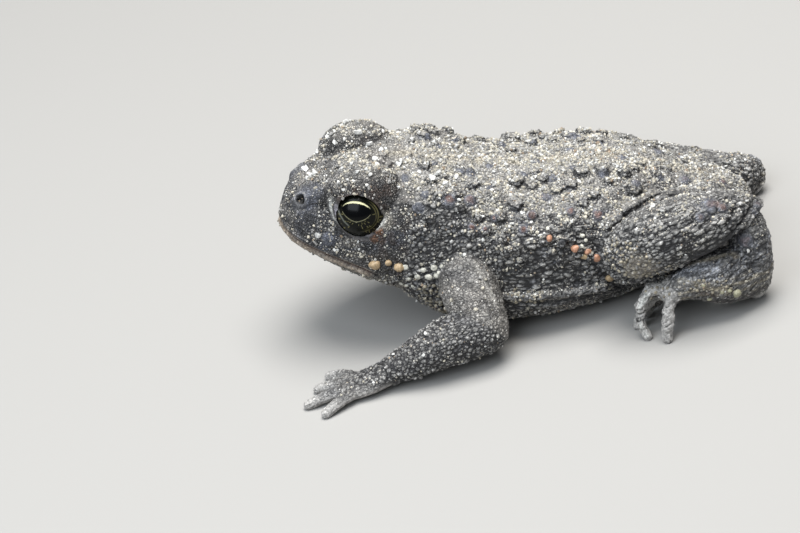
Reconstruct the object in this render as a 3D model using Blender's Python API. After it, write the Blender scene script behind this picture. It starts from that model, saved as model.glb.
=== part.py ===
"""Natterjack toad, life size, crouching with its forebody raised.

Lengths in the tables are millimetres and become metres in the meshes. +Z is up, the floor is Z = 0,
and the snout points along -X, so the toad's left side faces -Y.

The head and trunk are first modelled in a level body frame (s, y, z): s runs back from the snout tip,
y is across and z is up from the line between the shoulder and the hip. body_point() pitches that frame
nose up and stands it over the floor. The limbs are modelled straight in the floor's frame.
"""

import math
import random

import bmesh
import bpy
from mathutils import Matrix, Vector

MM = 0.001
GAP = 0.3
SIDES = ((-1, "left"), (1, "right"))
FLOOR = (0, 0, -1)
BODY_ROOM = GAP + 0.05

# How the level body frame stands over the floor
SNOUT_VENT = 58.0
PITCH = math.radians(14.0)
HIP_S = 46.1
HIP_X = 20.0
HIP_Z = 8.0
HEAD_ROLL = math.radians(3.0)
ROLL_FADE_START = 12.0
ROLL_FADE_END = 26.0

# Head and trunk: s, half width, level of the widest point, top, bottom, squareness above and below it
BODY_SECTIONS = (
    (0.0, 1.3, -2.0, -0.6, -3.4, 2.0, 2.0),
    (0.4, 2.8, -2.4, 0.9, -4.3, 2.0, 2.0),
    (1.1, 4.1, -2.7, 2.0, -5.0, 2.1, 2.0),
    (2.3, 5.3, -3.0, 2.9, -5.6, 2.0, 2.1),
    (4.0, 6.5, -3.4, 3.8, -6.3, 1.9, 2.2),
    (6.0, 7.7, -3.8, 4.6, -7.0, 1.8, 2.2),
    (8.5, 8.9, -4.1, 5.4, -7.8, 1.8, 2.2),
    (11.0, 9.8, -4.3, 6.1, -8.5, 1.9, 2.2),
    (14.0, 10.4, -4.2, 6.4, -9.7, 2.1, 2.3),
    (17.0, 10.9, -4.4, 6.2, -12.0, 2.2, 2.4),
    (20.0, 11.4, -4.6, 5.9, -13.6, 2.4, 2.5),
    (24.0, 12.3, -4.6, 5.4, -14.0, 2.4, 2.6),
    (28.0, 13.1, -4.2, 5.3, -13.2, 2.4, 2.6),
    (33.0, 13.2, -3.8, 5.8, -12.0, 2.5, 2.6),
    (38.0, 12.1, -3.2, 6.4, -10.9, 2.6, 2.6),
    (43.0, 10.6, -2.6, 6.0, -9.7, 2.5, 2.5),
    (48.0, 8.8, -2.0, 4.9, -8.4, 2.4, 2.4),
    (52.5, 6.7, -1.6, 4.0, -6.9, 2.2, 2.2),
    (55.8, 4.4, -1.1, 3.0, -5.0, 2.0, 2.0),
    (57.5, 2.4, -0.8, 1.6, -3.1, 2.0, 2.0),
    (SNOUT_VENT, 1.0, -0.8, 0.2, -1.8, 2.0, 2.0),
)
BODY_SIDES = 32
BODY_RING_STEP = 1.75

# Smooth swellings and hollows: s, spread along s, angle up from the side, spread of it, and rise
RELIEF = (
    (31.0, 7.0, 4.0, 20.0, -1.0),
    (17.4, 4.3, 47.0, 17.0, 1.5),
    (9.4, 4.2, 46.0, 26.0, 1.0),
)

# Where the trunk is parted from the head, and the mouth line that parts the lower jaw from it
NECK_S = 14.4
JAW_ANGLE_S = 10.9
MOUTH_LINE = (
    (-1.0, -2.8),
    (0.4, -3.15),
    (1.3, -3.4),
    (2.6, -3.65),
    (5.0, -4.0),
    (7.4, -4.3),
    (9.3, -4.65),
    (JAW_ANGLE_S, -5.2),
)
LIP_RADIUS = 0.4
LIP_RISE = 0.48
LIP_SINK = 0.2

# Eye: centre and size of the ball, and which way it looks
EYE_CENTRE = (8.85, 6.0, 1.95)
EYE_RADIUS = 3.15
GAZE = (-0.16, 0.94, 0.26)

# Upper lid, the opening between the lids, which flares outwards, and the rim of skin round it
LID_CENTRE = (9.3, 5.0, 3.3)
LID_RADII = (4.9, 3.8, 4.0)
OPENING_HALF_LENGTH = 2.8
OPENING_HALF_HEIGHT = 2.22
OPENING_LEAN = 0.57
OPENING_INNER_SHARE = 0.9
OPENING_OUTER_SHARE = 1.35
OPENING_DEPTH = 6.0
OPENING_START = 1.1
RIM_THICKNESS = 0.45
RIM_OUT = 1.5

# Ridge from the lid to the nostril, and the nostril
BROW_RIDGE = ((6.8, 4.7, 3.2, 1.7), (4.4, 3.6, 2.1, 1.4), (2.8, 2.9, 1.35, 1.25), (1.8, 2.5, 0.9, 1.05))
NOSTRIL = (1.95, 3.05, 1.6)
NOSTRIL_RADIUS = 0.5

# Warts of the skin: spans of s and of angle round the body (90 is the spine), count and radius range
WARTS = {
    "rows of the back": (15.5, 51.0, 50.0, 78.0, 34, 0.75, 1.2),
    "small ones between": (12.0, 54.0, 26.0, 85.0, 34, 0.5, 0.8),
    "flank": (20.0, 37.0, 8.0, 34.0, 12, 0.5, 0.75),
    "top of the head": (3.0, 13.0, 56.0, 86.0, 10, 0.4, 0.6),
    "behind the mouth": (12.0, 20.0, -40.0, -8.0, 12, 0.4, 0.55),
}

# Single warts on both sides, at the mouth's corner and along the flank: s, angle and radius
PLACED_WARTS = (
    (10.5, 1.0, 0.55),
    (11.9, 4.0, 0.5),
    (13.2, 0.0, 0.6),
    (30.3, 27.0, 0.7),
    (32.2, 25.0, 0.8),
    (34.4, 15.0, 0.8),
    (36.0, 9.0, 0.7),
    (37.6, 3.0, 0.6),
)
WART_SIDES = 6
WART_HEIGHT = 0.62
WART_SINK = 0.55
WART_SHOULDER = 0.66
WART_TRIES = 60
WART_SPACING = 1.02
WART_EDGE = 0.5
WART_EYE_ROOM = 5.4
WART_LIMB_ROOM = 1.2
SEED = 7

# Limbs: x, y, z, half width and half height at each station, from the body outwards
UPPER_ARM = {
    "left": ((-4.6, -6.0, 11.2, 3.9, 3.9), (-5.0, -10.5, 9.2, 3.7, 3.5), (-4.4, -15.2, 4.3, 3.2, 3.1)),
    "right": ((-3.8, 6.0, 11.2, 3.9, 3.9), (-2.6, 10.8, 8.8, 3.7, 3.5), (-0.4, 15.6, 4.3, 3.2, 3.1)),
}
FOREARM = {
    "left": (
        (-4.4, -15.2, 4.3, 3.1, 3.1),
        (-9.6, -16.1, 3.9, 2.9, 2.8),
        (-14.2, -16.6, 2.6, 2.1, 2.0),
        (-17.4, -16.7, 1.8, 1.7, 1.5),
        (-19.0, -16.8, 1.6, 1.8, 1.3),
    ),
    "right": (
        (-0.4, 15.6, 4.3, 3.1, 3.1),
        (-5.2, 16.3, 3.8, 2.9, 2.8),
        (-9.4, 16.4, 2.6, 2.1, 2.0),
        (-12.4, 15.9, 1.8, 1.7, 1.5),
        (-13.9, 15.6, 1.6, 1.8, 1.3),
    ),
}
WRIST = {"left": (-16.6, -16.7, 2.0), "right": (-11.7, 16.1, 2.0)}
PALM = {
    "left": ((-16.0, -16.7, 2.1, 1.7, 1.5), (-18.4, -16.8, 1.4, 2.2, 1.25), (-20.4, -16.9, 1.0, 2.3, 1.05)),
    "right": ((-11.1, 16.3, 2.1, 1.7, 1.5), (-13.4, 16.2, 1.4, 2.2, 1.25), (-15.3, 16.3, 1.0, 2.3, 1.05)),
}
HAND_HEADING = {"left": -4.0, "right": 8.0}

# Fingers, from the inner one out: turn outwards from straight ahead, length, and where the root sits across
FINGERS = ((-38.0, 4.3, -1.35), (-12.0, 4.9, -0.5), (10.0, 6.1, 0.45), (34.0, 4.7, 1.3))
FINGER_RADIUS = 0.92
TIP_RADIUS = 0.66
TIP_HEIGHT = 0.5
FINGER_ARCH = 0.35

# Legs, in the same way as the arms
THIGH = {
    "left": (
        (25.0, -3.6, 6.6, 4.6, 4.6),
        (20.5, -8.8, 8.2, 4.9, 4.9),
        (16.6, -12.6, 9.4, 4.2, 4.3),
        (14.4, -14.3, 9.8, 3.3, 3.6),
    ),
    "right": (
        (25.0, 3.6, 6.0, 4.4, 4.4),
        (20.6, 9.0, 5.6, 4.7, 4.5),
        (16.8, 12.6, 5.9, 4.1, 4.1),
        (14.5, 14.8, 5.9, 3.3, 3.5),
    ),
}
SHANK = {
    "left": (
        (14.5, -14.3, 10.2, 3.2, 3.6),
        (18.2, -15.0, 11.7, 3.7, 4.2),
        (22.3, -14.8, 12.0, 3.6, 4.2),
        (26.0, -14.0, 11.6, 3.2, 3.8),
        (28.4, -13.3, 10.8, 2.7, 3.2),
    ),
    "right": (
        (14.5, 14.8, 5.9, 3.2, 3.5),
        (18.0, 14.2, 5.2, 3.6, 3.8),
        (23.0, 12.8, 4.2, 3.5, 3.6),
        (28.0, 11.2, 3.4, 3.0, 3.1),
        (31.8, 10.4, 3.0, 2.6, 2.8),
    ),
}
TARSUS = {
    "left": (
        (28.0, -14.0, 4.2, 2.6, 3.6),
        (25.2, -15.2, 5.0, 2.7, 3.6),
        (22.4, -16.0, 5.9, 2.4, 3.0),
        (20.2, -16.4, 5.9, 2.2, 2.1),
        (18.6, -16.4, 5.4, 2.2, 1.4),
    ),
    "right": (
        (32.4, 11.5, 2.4, 2.5, 2.5),
        (28.6, 14.6, 2.3, 2.4, 2.4),
        (24.2, 16.8, 2.1, 2.2, 2.1),
        (20.4, 18.4, 1.9, 2.2, 1.7),
        (18.0, 19.3, 1.4, 2.4, 1.2),
    ),
}
HEEL = {"left": (28.7, -13.6, 6.6, 2.6, 2.9, 6.7), "right": (32.7, 10.7, 2.5, 2.5, 2.5, 2.8)}
ANKLE = {"left": (31.0, -13.5, 12.3), "right": (32.2, 11.0, 2.8)}
FOOT_HEADING = math.radians(22.0)

# Toes of the left foot, from the inner one out, which hang over the foot's front down to the floor
HANGING_TOES = (
    ((20.2, -15.6, 4.2), (19.2, -14.2, 3.0), (18.4, -13.2, 1.5), (18.0, -12.7, 0.5)),
    ((19.4, -15.8, 4.6), (17.6, -14.5, 3.5), (16.0, -13.5, 1.9), (15.3, -13.1, 0.5)),
    ((18.8, -16.2, 5.0), (16.6, -15.4, 4.4), (14.7, -15.1, 2.5), (13.9, -15.2, 0.5)),
    ((18.6, -16.6, 5.6), (15.8, -16.6, 5.9), (14.3, -17.0, 4.0), (14.1, -17.5, 1.9), (14.6, -17.9, 0.5)),
    ((20.0, -17.0, 5.7), (18.2, -17.6, 5.3), (17.4, -18.4, 3.5), (17.0, -19.0, 1.8), (16.8, -19.3, 0.5)),
)

# Toes of the right foot, from the inner one out: turn outwards, length, and where the root sits across
TOES = ((-26.0, 3.4, -1.5), (-8.0, 4.8, -0.85), (6.0, 6.4, -0.1), (20.0, 8.0, 0.7), (40.0, 5.6, 1.4))
TOE_RADIUS = 0.85
TOE_ARCH = 0.5

# Facets round a limb, a digit and a bead, and turns of the tangent where a tube's end is rounded
LIMB_SIDES = 14
DIGIT_SIDES = 8
END_TURNS = (math.radians(62), math.radians(34))

SHARP_EDGE = math.radians(50)
SKIN_COLOUR = (0.105, 0.100, 0.098, 1.0)
THROAT_COLOUR = (0.22, 0.20, 0.18, 1.0)
LIMB_COLOUR = (0.125, 0.120, 0.115, 1.0)
EYE_COLOUR = (0.012, 0.012, 0.010, 1.0)


def clear_scene():
    for obj in list(bpy.data.objects):
        bpy.data.objects.remove(obj)
    for name in ("natterjack_toad", "toad_cutters"):
        bpy.context.scene.collection.children.link(bpy.data.collections.new(name))
    bpy.data.collections["toad_cutters"].hide_render = True


def material(name, colour, roughness):
    made = bpy.data.materials.new(name)
    made.use_nodes = True
    shader = made.node_tree.nodes["Principled BSDF"]
    shader.inputs["Base Color"].default_value = colour
    shader.inputs["Roughness"].default_value = roughness
    made.diffuse_color = colour
    return made


def smooth_value(stations, column, at):
    """The column's value at station `at`, on a cubic curve through the stations."""
    last = len(stations) - 1
    at = min(max(at, stations[0][0]), stations[last][0])
    i = 0
    while i < last - 1 and at > stations[i + 1][0]:
        i += 1
    x0, x1 = stations[i][0], stations[i + 1][0]
    y0, y1 = stations[i][column], stations[i + 1][column]
    before = stations[max(i - 1, 0)]
    after = stations[min(i + 2, last)]
    slope0 = (y1 - before[column]) / (x1 - before[0]) if i > 0 else (y1 - y0) / (x1 - x0)
    slope1 = (after[column] - y0) / (after[0] - x0) if i + 1 < last else (y1 - y0) / (x1 - x0)
    t = (at - x0) / (x1 - x0)
    span = x1 - x0
    return (
        y0 * (2 * t**3 - 3 * t**2 + 1)
        + slope0 * span * (t**3 - 2 * t**2 + t)
        + y1 * (3 * t**2 - 2 * t**3)
        + slope1 * span * (t**3 - t**2)
    )


def body_point(s, y, z):
    """A point of the level body frame, stood over the floor, in millimetres."""
    fade = (s - ROLL_FADE_START) / (ROLL_FADE_END - ROLL_FADE_START)
    roll = HEAD_ROLL * (1 - min(max(fade, 0.0), 1.0))
    y, z = y * math.cos(roll) - z * math.sin(roll), y * math.sin(roll) + z * math.cos(roll)
    back = s - HIP_S
    x = HIP_X + back * math.cos(PITCH) + z * math.sin(PITCH)
    height = HIP_Z - back * math.sin(PITCH) + z * math.cos(PITCH)
    return Vector((x, y, height))


def relief_rise(s, angle):
    """How far the body's outline stands out at s and at the angle, by the table of reliefs."""
    up_from_side = math.degrees(math.asin(max(-1.0, min(1.0, math.sin(angle)))))
    return sum(
        rise * math.exp(-(((s - middle) / length) ** 2) - ((up_from_side - level) / spread) ** 2)
        for middle, length, level, spread, rise in RELIEF
    )


def section_point(s, angle, grow=0.0):
    """A point of the body's outline at s, in the level frame. The angle is 90 degrees at the spine."""
    half, mid, top, bottom, n_top, n_bottom = (smooth_value(BODY_SECTIONS, c, s) for c in range(1, 7))
    power = n_top if math.sin(angle) > 0 else n_bottom
    rise = (top - mid if math.sin(angle) > 0 else mid - bottom) + grow
    half += relief_rise(s, angle)
    rise += relief_rise(s, angle)
    across = abs(math.cos(angle)) ** (2 / power)
    up = abs(math.sin(angle)) ** (2 / power)
    return (
        s,
        math.copysign((half + grow) * across, math.cos(angle)),
        mid + math.copysign(rise * up, math.sin(angle)),
    )


def section_side(s, z):
    """Half width of the body at s and at level z."""
    half, mid, top, bottom, n_top, n_bottom = (smooth_value(BODY_SECTIONS, c, s) for c in range(1, 7))
    share = (z - mid) / (top - mid) if z > mid else (mid - z) / (mid - bottom)
    power = n_top if z > mid else n_bottom
    return half * max(0.0, 1 - min(share, 1.0) ** power) ** (1 / power)


def mesh_object(name, bm):
    """The bmesh, in millimetres, as an object in metres with its normals facing out."""
    bmesh.ops.recalc_face_normals(bm, faces=bm.faces)
    bmesh.ops.scale(bm, vec=(MM, MM, MM), verts=bm.verts)
    mesh = bpy.data.meshes.new(name)
    bm.to_mesh(mesh)
    bm.free()
    obj = bpy.data.objects.new(name, mesh)
    bpy.data.collections["toad_cutters"].objects.link(obj)
    return obj


def loft(name, rings, first_pole, last_pole):
    """A closed skin over rings of equal count, drawn to a point at each end."""
    bm = bmesh.new()
    rows = [[bm.verts.new(p) for p in ring] for ring in rings]
    count = len(rows[0])
    for row, following in zip(rows, rows[1:]):
        for i in range(count):
            j = (i + 1) % count
            bm.faces.new((row[i], row[j], following[j], following[i]))
    for pole, row in ((first_pole, rows[0]), (last_pole, rows[-1])):
        tip = bm.verts.new(pole)
        for i in range(count):
            bm.faces.new((row[i], row[(i + 1) % count], tip))
    return mesh_object(name, bm)


def body_loft(name, grow=0.0):
    steps = round((SNOUT_VENT - BODY_SECTIONS[1][0]) / BODY_RING_STEP)
    stations = [BODY_SECTIONS[0][0] + 0.02, 0.4, 1.1]
    stations += [1.1 + (SNOUT_VENT - 1.1) * (i / steps) for i in range(1, steps)]
    stations += [56.9, 57.6, SNOUT_VENT - 0.02]
    stations = sorted(set(stations))
    rings = []
    for s in stations:
        ring = [
            body_point(*section_point(s, 2 * math.pi * i / BODY_SIDES, grow))
            for i in range(BODY_SIDES)
        ]
        rings.append(ring)
    snout = body_point(-0.15 - grow, 0, -2.3)
    vent = body_point(SNOUT_VENT + 0.1 + grow, 0, -0.8)
    return loft(name, rings, snout, vent)


def curve_point(points, t):
    """A point at t, from 0 to 1, on a smooth curve through the points."""
    place = t * (len(points) - 1)
    i = min(int(place), len(points) - 2)
    f = place - i
    p0 = points[max(i - 1, 0)]
    p1, p2 = points[i], points[i + 1]
    p3 = points[min(i + 2, len(points) - 1)]
    return 0.5 * (
        2 * p1
        + (p2 - p0) * f
        + (2 * p0 - 5 * p1 + 4 * p2 - p3) * f**2
        + (3 * p1 - p0 - 3 * p2 + p3) * f**3
    )


def limb(name, stations, sides=LIMB_SIDES, steps=3, up=(0.0, 0.0, 1.0)):
    """A round-ended tube through stations of x, y, z, half width and half height."""
    places = [Vector(s[:3]) for s in stations]
    halves = [Vector((s[3], s[4], 0.0)) for s in stations]
    total = steps * (len(stations) - 1)
    spine = [curve_point(places, i / total) for i in range(total + 1)]
    sizes = [curve_point(halves, i / total) for i in range(total + 1)]
    tangents = [
        (spine[min(i + 1, total)] - spine[max(i - 1, 0)]).normalized() for i in range(total + 1)
    ]
    rings = []

    def ring(centre, tangent, size, shrink):
        side = tangent.cross(Vector(up)).normalized()
        above = side.cross(tangent)
        return [
            centre
            + side * (size.x * shrink * math.cos(2 * math.pi * i / sides))
            + above * (size.y * shrink * math.sin(2 * math.pi * i / sides))
            for i in range(sides)
        ]

    before = tangents[0] * -sizes[0].x
    after = tangents[-1] * sizes[-1].x
    for turn in END_TURNS:
        rings.append(ring(spine[0] + before * math.sin(turn), tangents[0], sizes[0], math.cos(turn)))
    for centre, tangent, size in zip(spine, tangents, sizes):
        rings.append(ring(centre, tangent, size, 1.0))
    for turn in reversed(END_TURNS):
        rings.append(ring(spine[-1] + after * math.sin(turn), tangents[-1], sizes[-1], math.cos(turn)))
    return loft(name, rings, spine[0] + before, spine[-1] + after)


def ellipsoid(name, centre, radii, segments=16, rings=10, turn=None):
    bm = bmesh.new()
    bmesh.ops.create_uvsphere(bm, u_segments=segments, v_segments=rings, radius=1.0)
    bmesh.ops.scale(bm, vec=radii, verts=bm.verts)
    if turn is not None:
        bmesh.ops.transform(bm, matrix=turn.to_4x4(), verts=bm.verts)
    bmesh.ops.translate(bm, vec=centre, verts=bm.verts)
    return mesh_object(name, bm)


def body_turn():
    """Turns a shape from the level body frame's axes to the floor's, with the head's roll."""
    return Matrix.Rotation(PITCH, 3, "Y") @ Matrix.Rotation(HEAD_ROLL, 3, "X")


def evaluated_mesh(obj):
    graph = bpy.context.evaluated_depsgraph_get()
    return bpy.data.meshes.new_from_object(obj.evaluated_get(graph))


def combine(base, others, operation):
    """Joins the other solids to the base, or cuts them from it, and removes them."""
    group = bpy.data.collections.new("operands")
    bpy.data.collections["toad_cutters"].children.link(group)
    for other in others:
        group.objects.link(other)
    modifier = base.modifiers.new("combine", "BOOLEAN")
    modifier.operation = operation
    modifier.operand_type = "COLLECTION"
    modifier.collection = group
    joined = evaluated_mesh(base)
    base.modifiers.clear()
    base.data = joined
    for other in others:
        bpy.data.objects.remove(other)
    bpy.data.collections.remove(group)
    keep_largest(base)
    return base


def keep_largest(obj):
    """Drops every closed surface of the object but the largest."""
    bm = bmesh.new()
    bm.from_mesh(obj.data)
    left = set(bm.verts)
    shells = []
    while left:
        shell = {left.pop()}
        edge = list(shell)
        while edge:
            vert = edge.pop()
            for link in vert.link_edges:
                other = link.other_vert(vert)
                if other not in shell:
                    shell.add(other)
                    edge.append(other)
        left -= shell
        shells.append(shell)
    shells.sort(key=len)
    for shell in shells[:-1]:
        bmesh.ops.delete(bm, geom=list(shell), context="VERTS")
    bm.to_mesh(obj.data)
    bm.free()


def clip(obj, point, normal):
    """Cuts the solid flat at the plane and keeps the side that the normal points away from."""
    bm = bmesh.new()
    bm.from_mesh(obj.data)
    geometry = bm.verts[:] + bm.edges[:] + bm.faces[:]
    bmesh.ops.bisect_plane(
        bm,
        geom=geometry,
        dist=1e-8,
        plane_co=Vector(point) * MM,
        plane_no=Vector(normal).normalized(),
        clear_outer=True,
    )
    rim = [e for e in bm.edges if e.is_boundary]
    if rim:
        bmesh.ops.holes_fill(bm, edges=rim, sides=0)
    bmesh.ops.triangulate(bm, faces=[f for f in bm.faces if len(f.verts) > 4])
    bmesh.ops.recalc_face_normals(bm, faces=bm.faces)
    bm.to_mesh(obj.data)
    bm.free()
    return obj


def copy_of(obj, name):
    made = bpy.data.objects.new(name, obj.data.copy())
    bpy.data.collections["toad_cutters"].objects.link(made)
    return made


def prism(name, outline, half_width):
    """A solid with the outline given as (s, z) in the level frame, across the whole body."""
    bm = bmesh.new()
    near = [bm.verts.new(body_point(s, -half_width, z)) for s, z in outline]
    far = [bm.verts.new(body_point(s, half_width, z)) for s, z in outline]
    bm.faces.new(near)
    bm.faces.new(far)
    count = len(outline)
    for i in range(count):
        j = (i + 1) % count
        bm.faces.new((near[i], near[j], far[j], far[i]))
    bmesh.ops.triangulate(bm, faces=bm.faces)
    return mesh_object(name, bm)


def jaw_outline(rise, back):
    """The space of the lower jaw in side view: under the mouth line and ahead of the jaw angle."""
    top = [(s, z + rise) for s, z in MOUTH_LINE[:-1]]
    corner = (JAW_ANGLE_S + back, MOUTH_LINE[-1][1] + rise)
    return [*top, corner, (JAW_ANGLE_S + back, -20.0), (-6.0, -20.0), (-6.0, MOUTH_LINE[0][1] + rise)]


def lip(name, rise):
    """The bead of one lip, along the head's outline beside the mouth line, round the snout."""
    stations = []
    for side, line in ((-1, reversed(MOUTH_LINE[1:])), (1, MOUTH_LINE[1:])):
        for s, z in line:
            y = section_side(s, z + rise) - LIP_SINK
            stations.append((*body_point(s, side * y, z + rise), LIP_RADIUS, LIP_RADIUS))
        if side < 0:
            front = body_point(0.0, 0.0, MOUTH_LINE[1][1] + rise)
            stations.append((*front, LIP_RADIUS, LIP_RADIUS))
    return limb(name, stations, sides=DIGIT_SIDES, steps=1)


def eye_frame(side):
    """Axes of the eye's opening as columns: along it, up across it, and out of it."""
    out = body_turn() @ Vector((GAZE[0], side * GAZE[1], GAZE[2])).normalized()
    up = body_turn() @ Vector((OPENING_LEAN, 0.0, 1.0))
    along = up.cross(out).normalized()
    up = out.cross(along).normalized()
    return Matrix((along, up, out)).transposed()


def eye_point(side, out=0.0):
    """The middle of the eyeball, or a point that far out of it along the way it looks."""
    s, y, z = EYE_CENTRE
    return body_point(s, side * y, z) + eye_frame(side).col[2] * out


def eye_opening(name, side):
    """What is cut away in front of the eyeball, between the lids."""
    bm = bmesh.new()
    bmesh.ops.create_cone(
        bm,
        cap_ends=True,
        segments=20,
        radius1=OPENING_INNER_SHARE,
        radius2=OPENING_OUTER_SHARE,
        depth=OPENING_DEPTH,
        matrix=Matrix.Translation((0, 0, OPENING_START + OPENING_DEPTH / 2)),
    )
    bmesh.ops.scale(bm, vec=(OPENING_HALF_LENGTH, OPENING_HALF_HEIGHT, 1.0), verts=bm.verts)
    bmesh.ops.transform(bm, matrix=eye_frame(side).to_4x4(), verts=bm.verts)
    bmesh.ops.translate(bm, vec=eye_point(side), verts=bm.verts)
    return mesh_object(name, bm)


def lid_rim(name, side):
    """The ring of skin round the eye's opening."""
    turns, around = 20, 6
    bm = bmesh.new()
    rows = []
    for i in range(turns):
        a = 2 * math.pi * i / turns
        row = []
        for j in range(around):
            b = 2 * math.pi * j / around
            out = RIM_THICKNESS * (1 + math.cos(b))
            place = (
                (OPENING_HALF_LENGTH + out) * math.cos(a),
                (OPENING_HALF_HEIGHT + out) * math.sin(a),
                RIM_THICKNESS * math.sin(b),
            )
            row.append(bm.verts.new(place))
        rows.append(row)
    for i in range(turns):
        for j in range(around):
            k, m = (i + 1) % turns, (j + 1) % around
            bm.faces.new((rows[i][j], rows[k][j], rows[k][m], rows[i][m]))
    bmesh.ops.transform(bm, matrix=eye_frame(side).to_4x4(), verts=bm.verts)
    bmesh.ops.translate(bm, vec=eye_point(side, RIM_OUT), verts=bm.verts)
    return mesh_object(name, bm)


def wart(name, base, normal, radius):
    """A low dome with its root sunk in the skin."""
    side = normal.cross(Vector((0.3, 1.0, 0.2))).normalized()
    other = normal.cross(side)
    rings = []
    for share, height in ((0.8, -WART_SINK), (1.0, 0.0), (WART_SHOULDER, WART_HEIGHT * 0.75)):
        rings.append(
            [
                base
                + normal * (height * radius)
                + side * (radius * share * math.cos(2 * math.pi * i / WART_SIDES))
                + other * (radius * share * math.sin(2 * math.pi * i / WART_SIDES))
                for i in range(WART_SIDES)
            ]
        )
    return loft(name, rings, base - normal * (radius * WART_SINK), base + normal * (radius * WART_HEIGHT))


def body_normal(s, angle):
    """The body's outward normal, and the point it stands on, in the floor's frame."""
    here = body_point(*section_point(s, angle))
    ahead = body_point(*section_point(s + 0.2, angle)) - here
    around = body_point(*section_point(s, angle + 0.03)) - here
    return here, ahead.cross(around).normalized()


def near_limb(point, clearance):
    """True where a limb lies against the body, so that no wart stands in its way."""
    label = "left" if point.y < 0 else "right"
    for stations in (UPPER_ARM[label], THIGH[label], SHANK[label]):
        for x, y, z, half, height in stations:
            if (Vector((x, y, z)) - point).length < max(half, height) + clearance:
                return True
    return False


def wart_places():
    """Wart centres, normals and radii on the body, spread by a seeded draw and kept apart."""
    draw = random.Random(SEED)
    placed = []
    for s, degrees, radius in PLACED_WARTS:
        for angle in (math.radians(degrees), math.radians(180 - degrees)):
            placed.append((*body_normal(s, angle), radius))
    for s_low, s_high, a_low, a_high, count, r_low, r_high in WARTS.values():
        made = tries = 0
        while made < count and tries < WART_TRIES * count:
            tries += 1
            s = draw.uniform(s_low, s_high)
            angle = math.radians(draw.uniform(a_low, a_high))
            radius = draw.uniform(r_low, r_high)
            if draw.random() < 0.5:
                angle = math.pi - angle
            point, normal = body_normal(s, angle)
            near = any((point - p).length < (radius + r) * WART_SPACING for p, _, r in placed)
            eye = min((point - eye_point(side)).length for side in (-1, 1))
            edge = abs(s - NECK_S) < radius + WART_EDGE
            if near or edge or eye < WART_EYE_ROOM + radius or near_limb(point, WART_LIMB_ROOM + radius):
                continue
            placed.append((point, normal, radius))
            made += 1
    return placed


def build_body():
    """Head, lower jaw and torso: one whole form, parted by thin cuts."""
    whole = body_loft("whole")
    swellings = []
    for side, label in SIDES:
        s, y, z = LID_CENTRE
        swellings.append(ellipsoid("lid_" + label, body_point(s, side * y, z), LID_RADII, 18, 11, body_turn()))
        ridge = [(*body_point(s, side * y, z), r, r) for s, y, z, r in BROW_RIDGE]
        swellings.append(limb("ridge_" + label, ridge, sides=10, steps=2))
    swellings += [lip("upper_lip", LIP_RISE), lip("lower_lip", -LIP_RISE)]
    combine(whole, swellings, "UNION")
    combine(whole, [eye_opening("opening_" + label, side) for side, label in SIDES], "DIFFERENCE")
    details = [lid_rim("rim_" + label, side) for side, label in SIDES]
    for number, (point, normal, radius) in enumerate(wart_places()):
        details.append(wart(f"wart_{number}", point, normal, radius))
    combine(whole, details, "UNION")
    hollows = []
    for side, label in SIDES:
        hollows.append(
            ellipsoid("socket_" + label, eye_point(side), (EYE_RADIUS + GAP,) * 3, 18, 11, body_turn())
        )
        s, y, z = NOSTRIL
        hollows.append(ellipsoid("nostril_" + label, body_point(s, side * y, z), (NOSTRIL_RADIUS,) * 3, 8, 6))
    combine(whole, hollows, "DIFFERENCE")
    clip(whole, (0, 0, 0), FLOOR)
    neck = body_turn() @ Vector((1, 0, 0))
    torso = copy_of(whole, "torso")
    clip(torso, body_point(NECK_S + GAP / 2, 0, 0), -neck)
    head = copy_of(whole, "head")
    clip(head, body_point(NECK_S - GAP / 2, 0, 0), neck)
    jaw = copy_of(head, "lower_jaw")
    combine(jaw, [prism("jaw_space", jaw_outline(-GAP / 2, -GAP / 2), 16.0)], "INTERSECT")
    combine(head, [prism("jaw_room", jaw_outline(GAP / 2, GAP / 2), 16.0)], "DIFFERENCE")
    bpy.data.objects.remove(whole)
    return [head, jaw, torso]


def build_eye(side, label):
    """The eyeball, turned so that its pole looks out of the opening."""
    ball = ellipsoid("eye_" + label, (0, 0, 0), (EYE_RADIUS,) * 3, 20, 12, eye_frame(side))
    ball.location = eye_point(side) * MM
    return ball


def mitre(first, second, joint, first_place, second_place):
    """Parts two segments that fold at a joint, at the plane midway between them."""
    joint = Vector(joint[:3])
    towards_first = (Vector(first_place[:3]) - joint).normalized()
    towards_second = (Vector(second_place[:3]) - joint).normalized()
    normal = (towards_first - towards_second).normalized()
    clip(first, joint + normal * (GAP / 2), -normal)
    clip(second, joint - normal * (GAP / 2), normal)


def digits(prefix, root, heading, fans, side, radius, arch):
    """Tapered fingers or toes that fan out from one root, and rest their tips on the floor."""
    made = []
    root = Vector(root[:3])
    ahead = Vector((-math.cos(heading), side * math.sin(heading), 0))
    outwards = Vector((ahead.y * -side, ahead.x * side, 0)) * -1
    for number, (fan, length, across) in enumerate(fans):
        angle = heading + math.radians(fan)
        along = Vector((-math.cos(angle), side * math.sin(angle), 0))
        start = root + outwards * across - along * radius
        stations = []
        for share in (0.0, 0.3, 0.55, 0.8, 1.0):
            place = start + along * ((length + radius) * share)
            fall = share**1.5
            place.z = root.z * (1 - fall) + TIP_HEIGHT * fall + arch * math.sin(math.pi * share)
            thick = radius + (TIP_RADIUS - radius) * share
            stations.append((*place, thick, thick * 0.92))
        made.append(limb(f"{prefix}_{number}", stations, sides=DIGIT_SIDES, steps=1))
    return made


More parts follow.
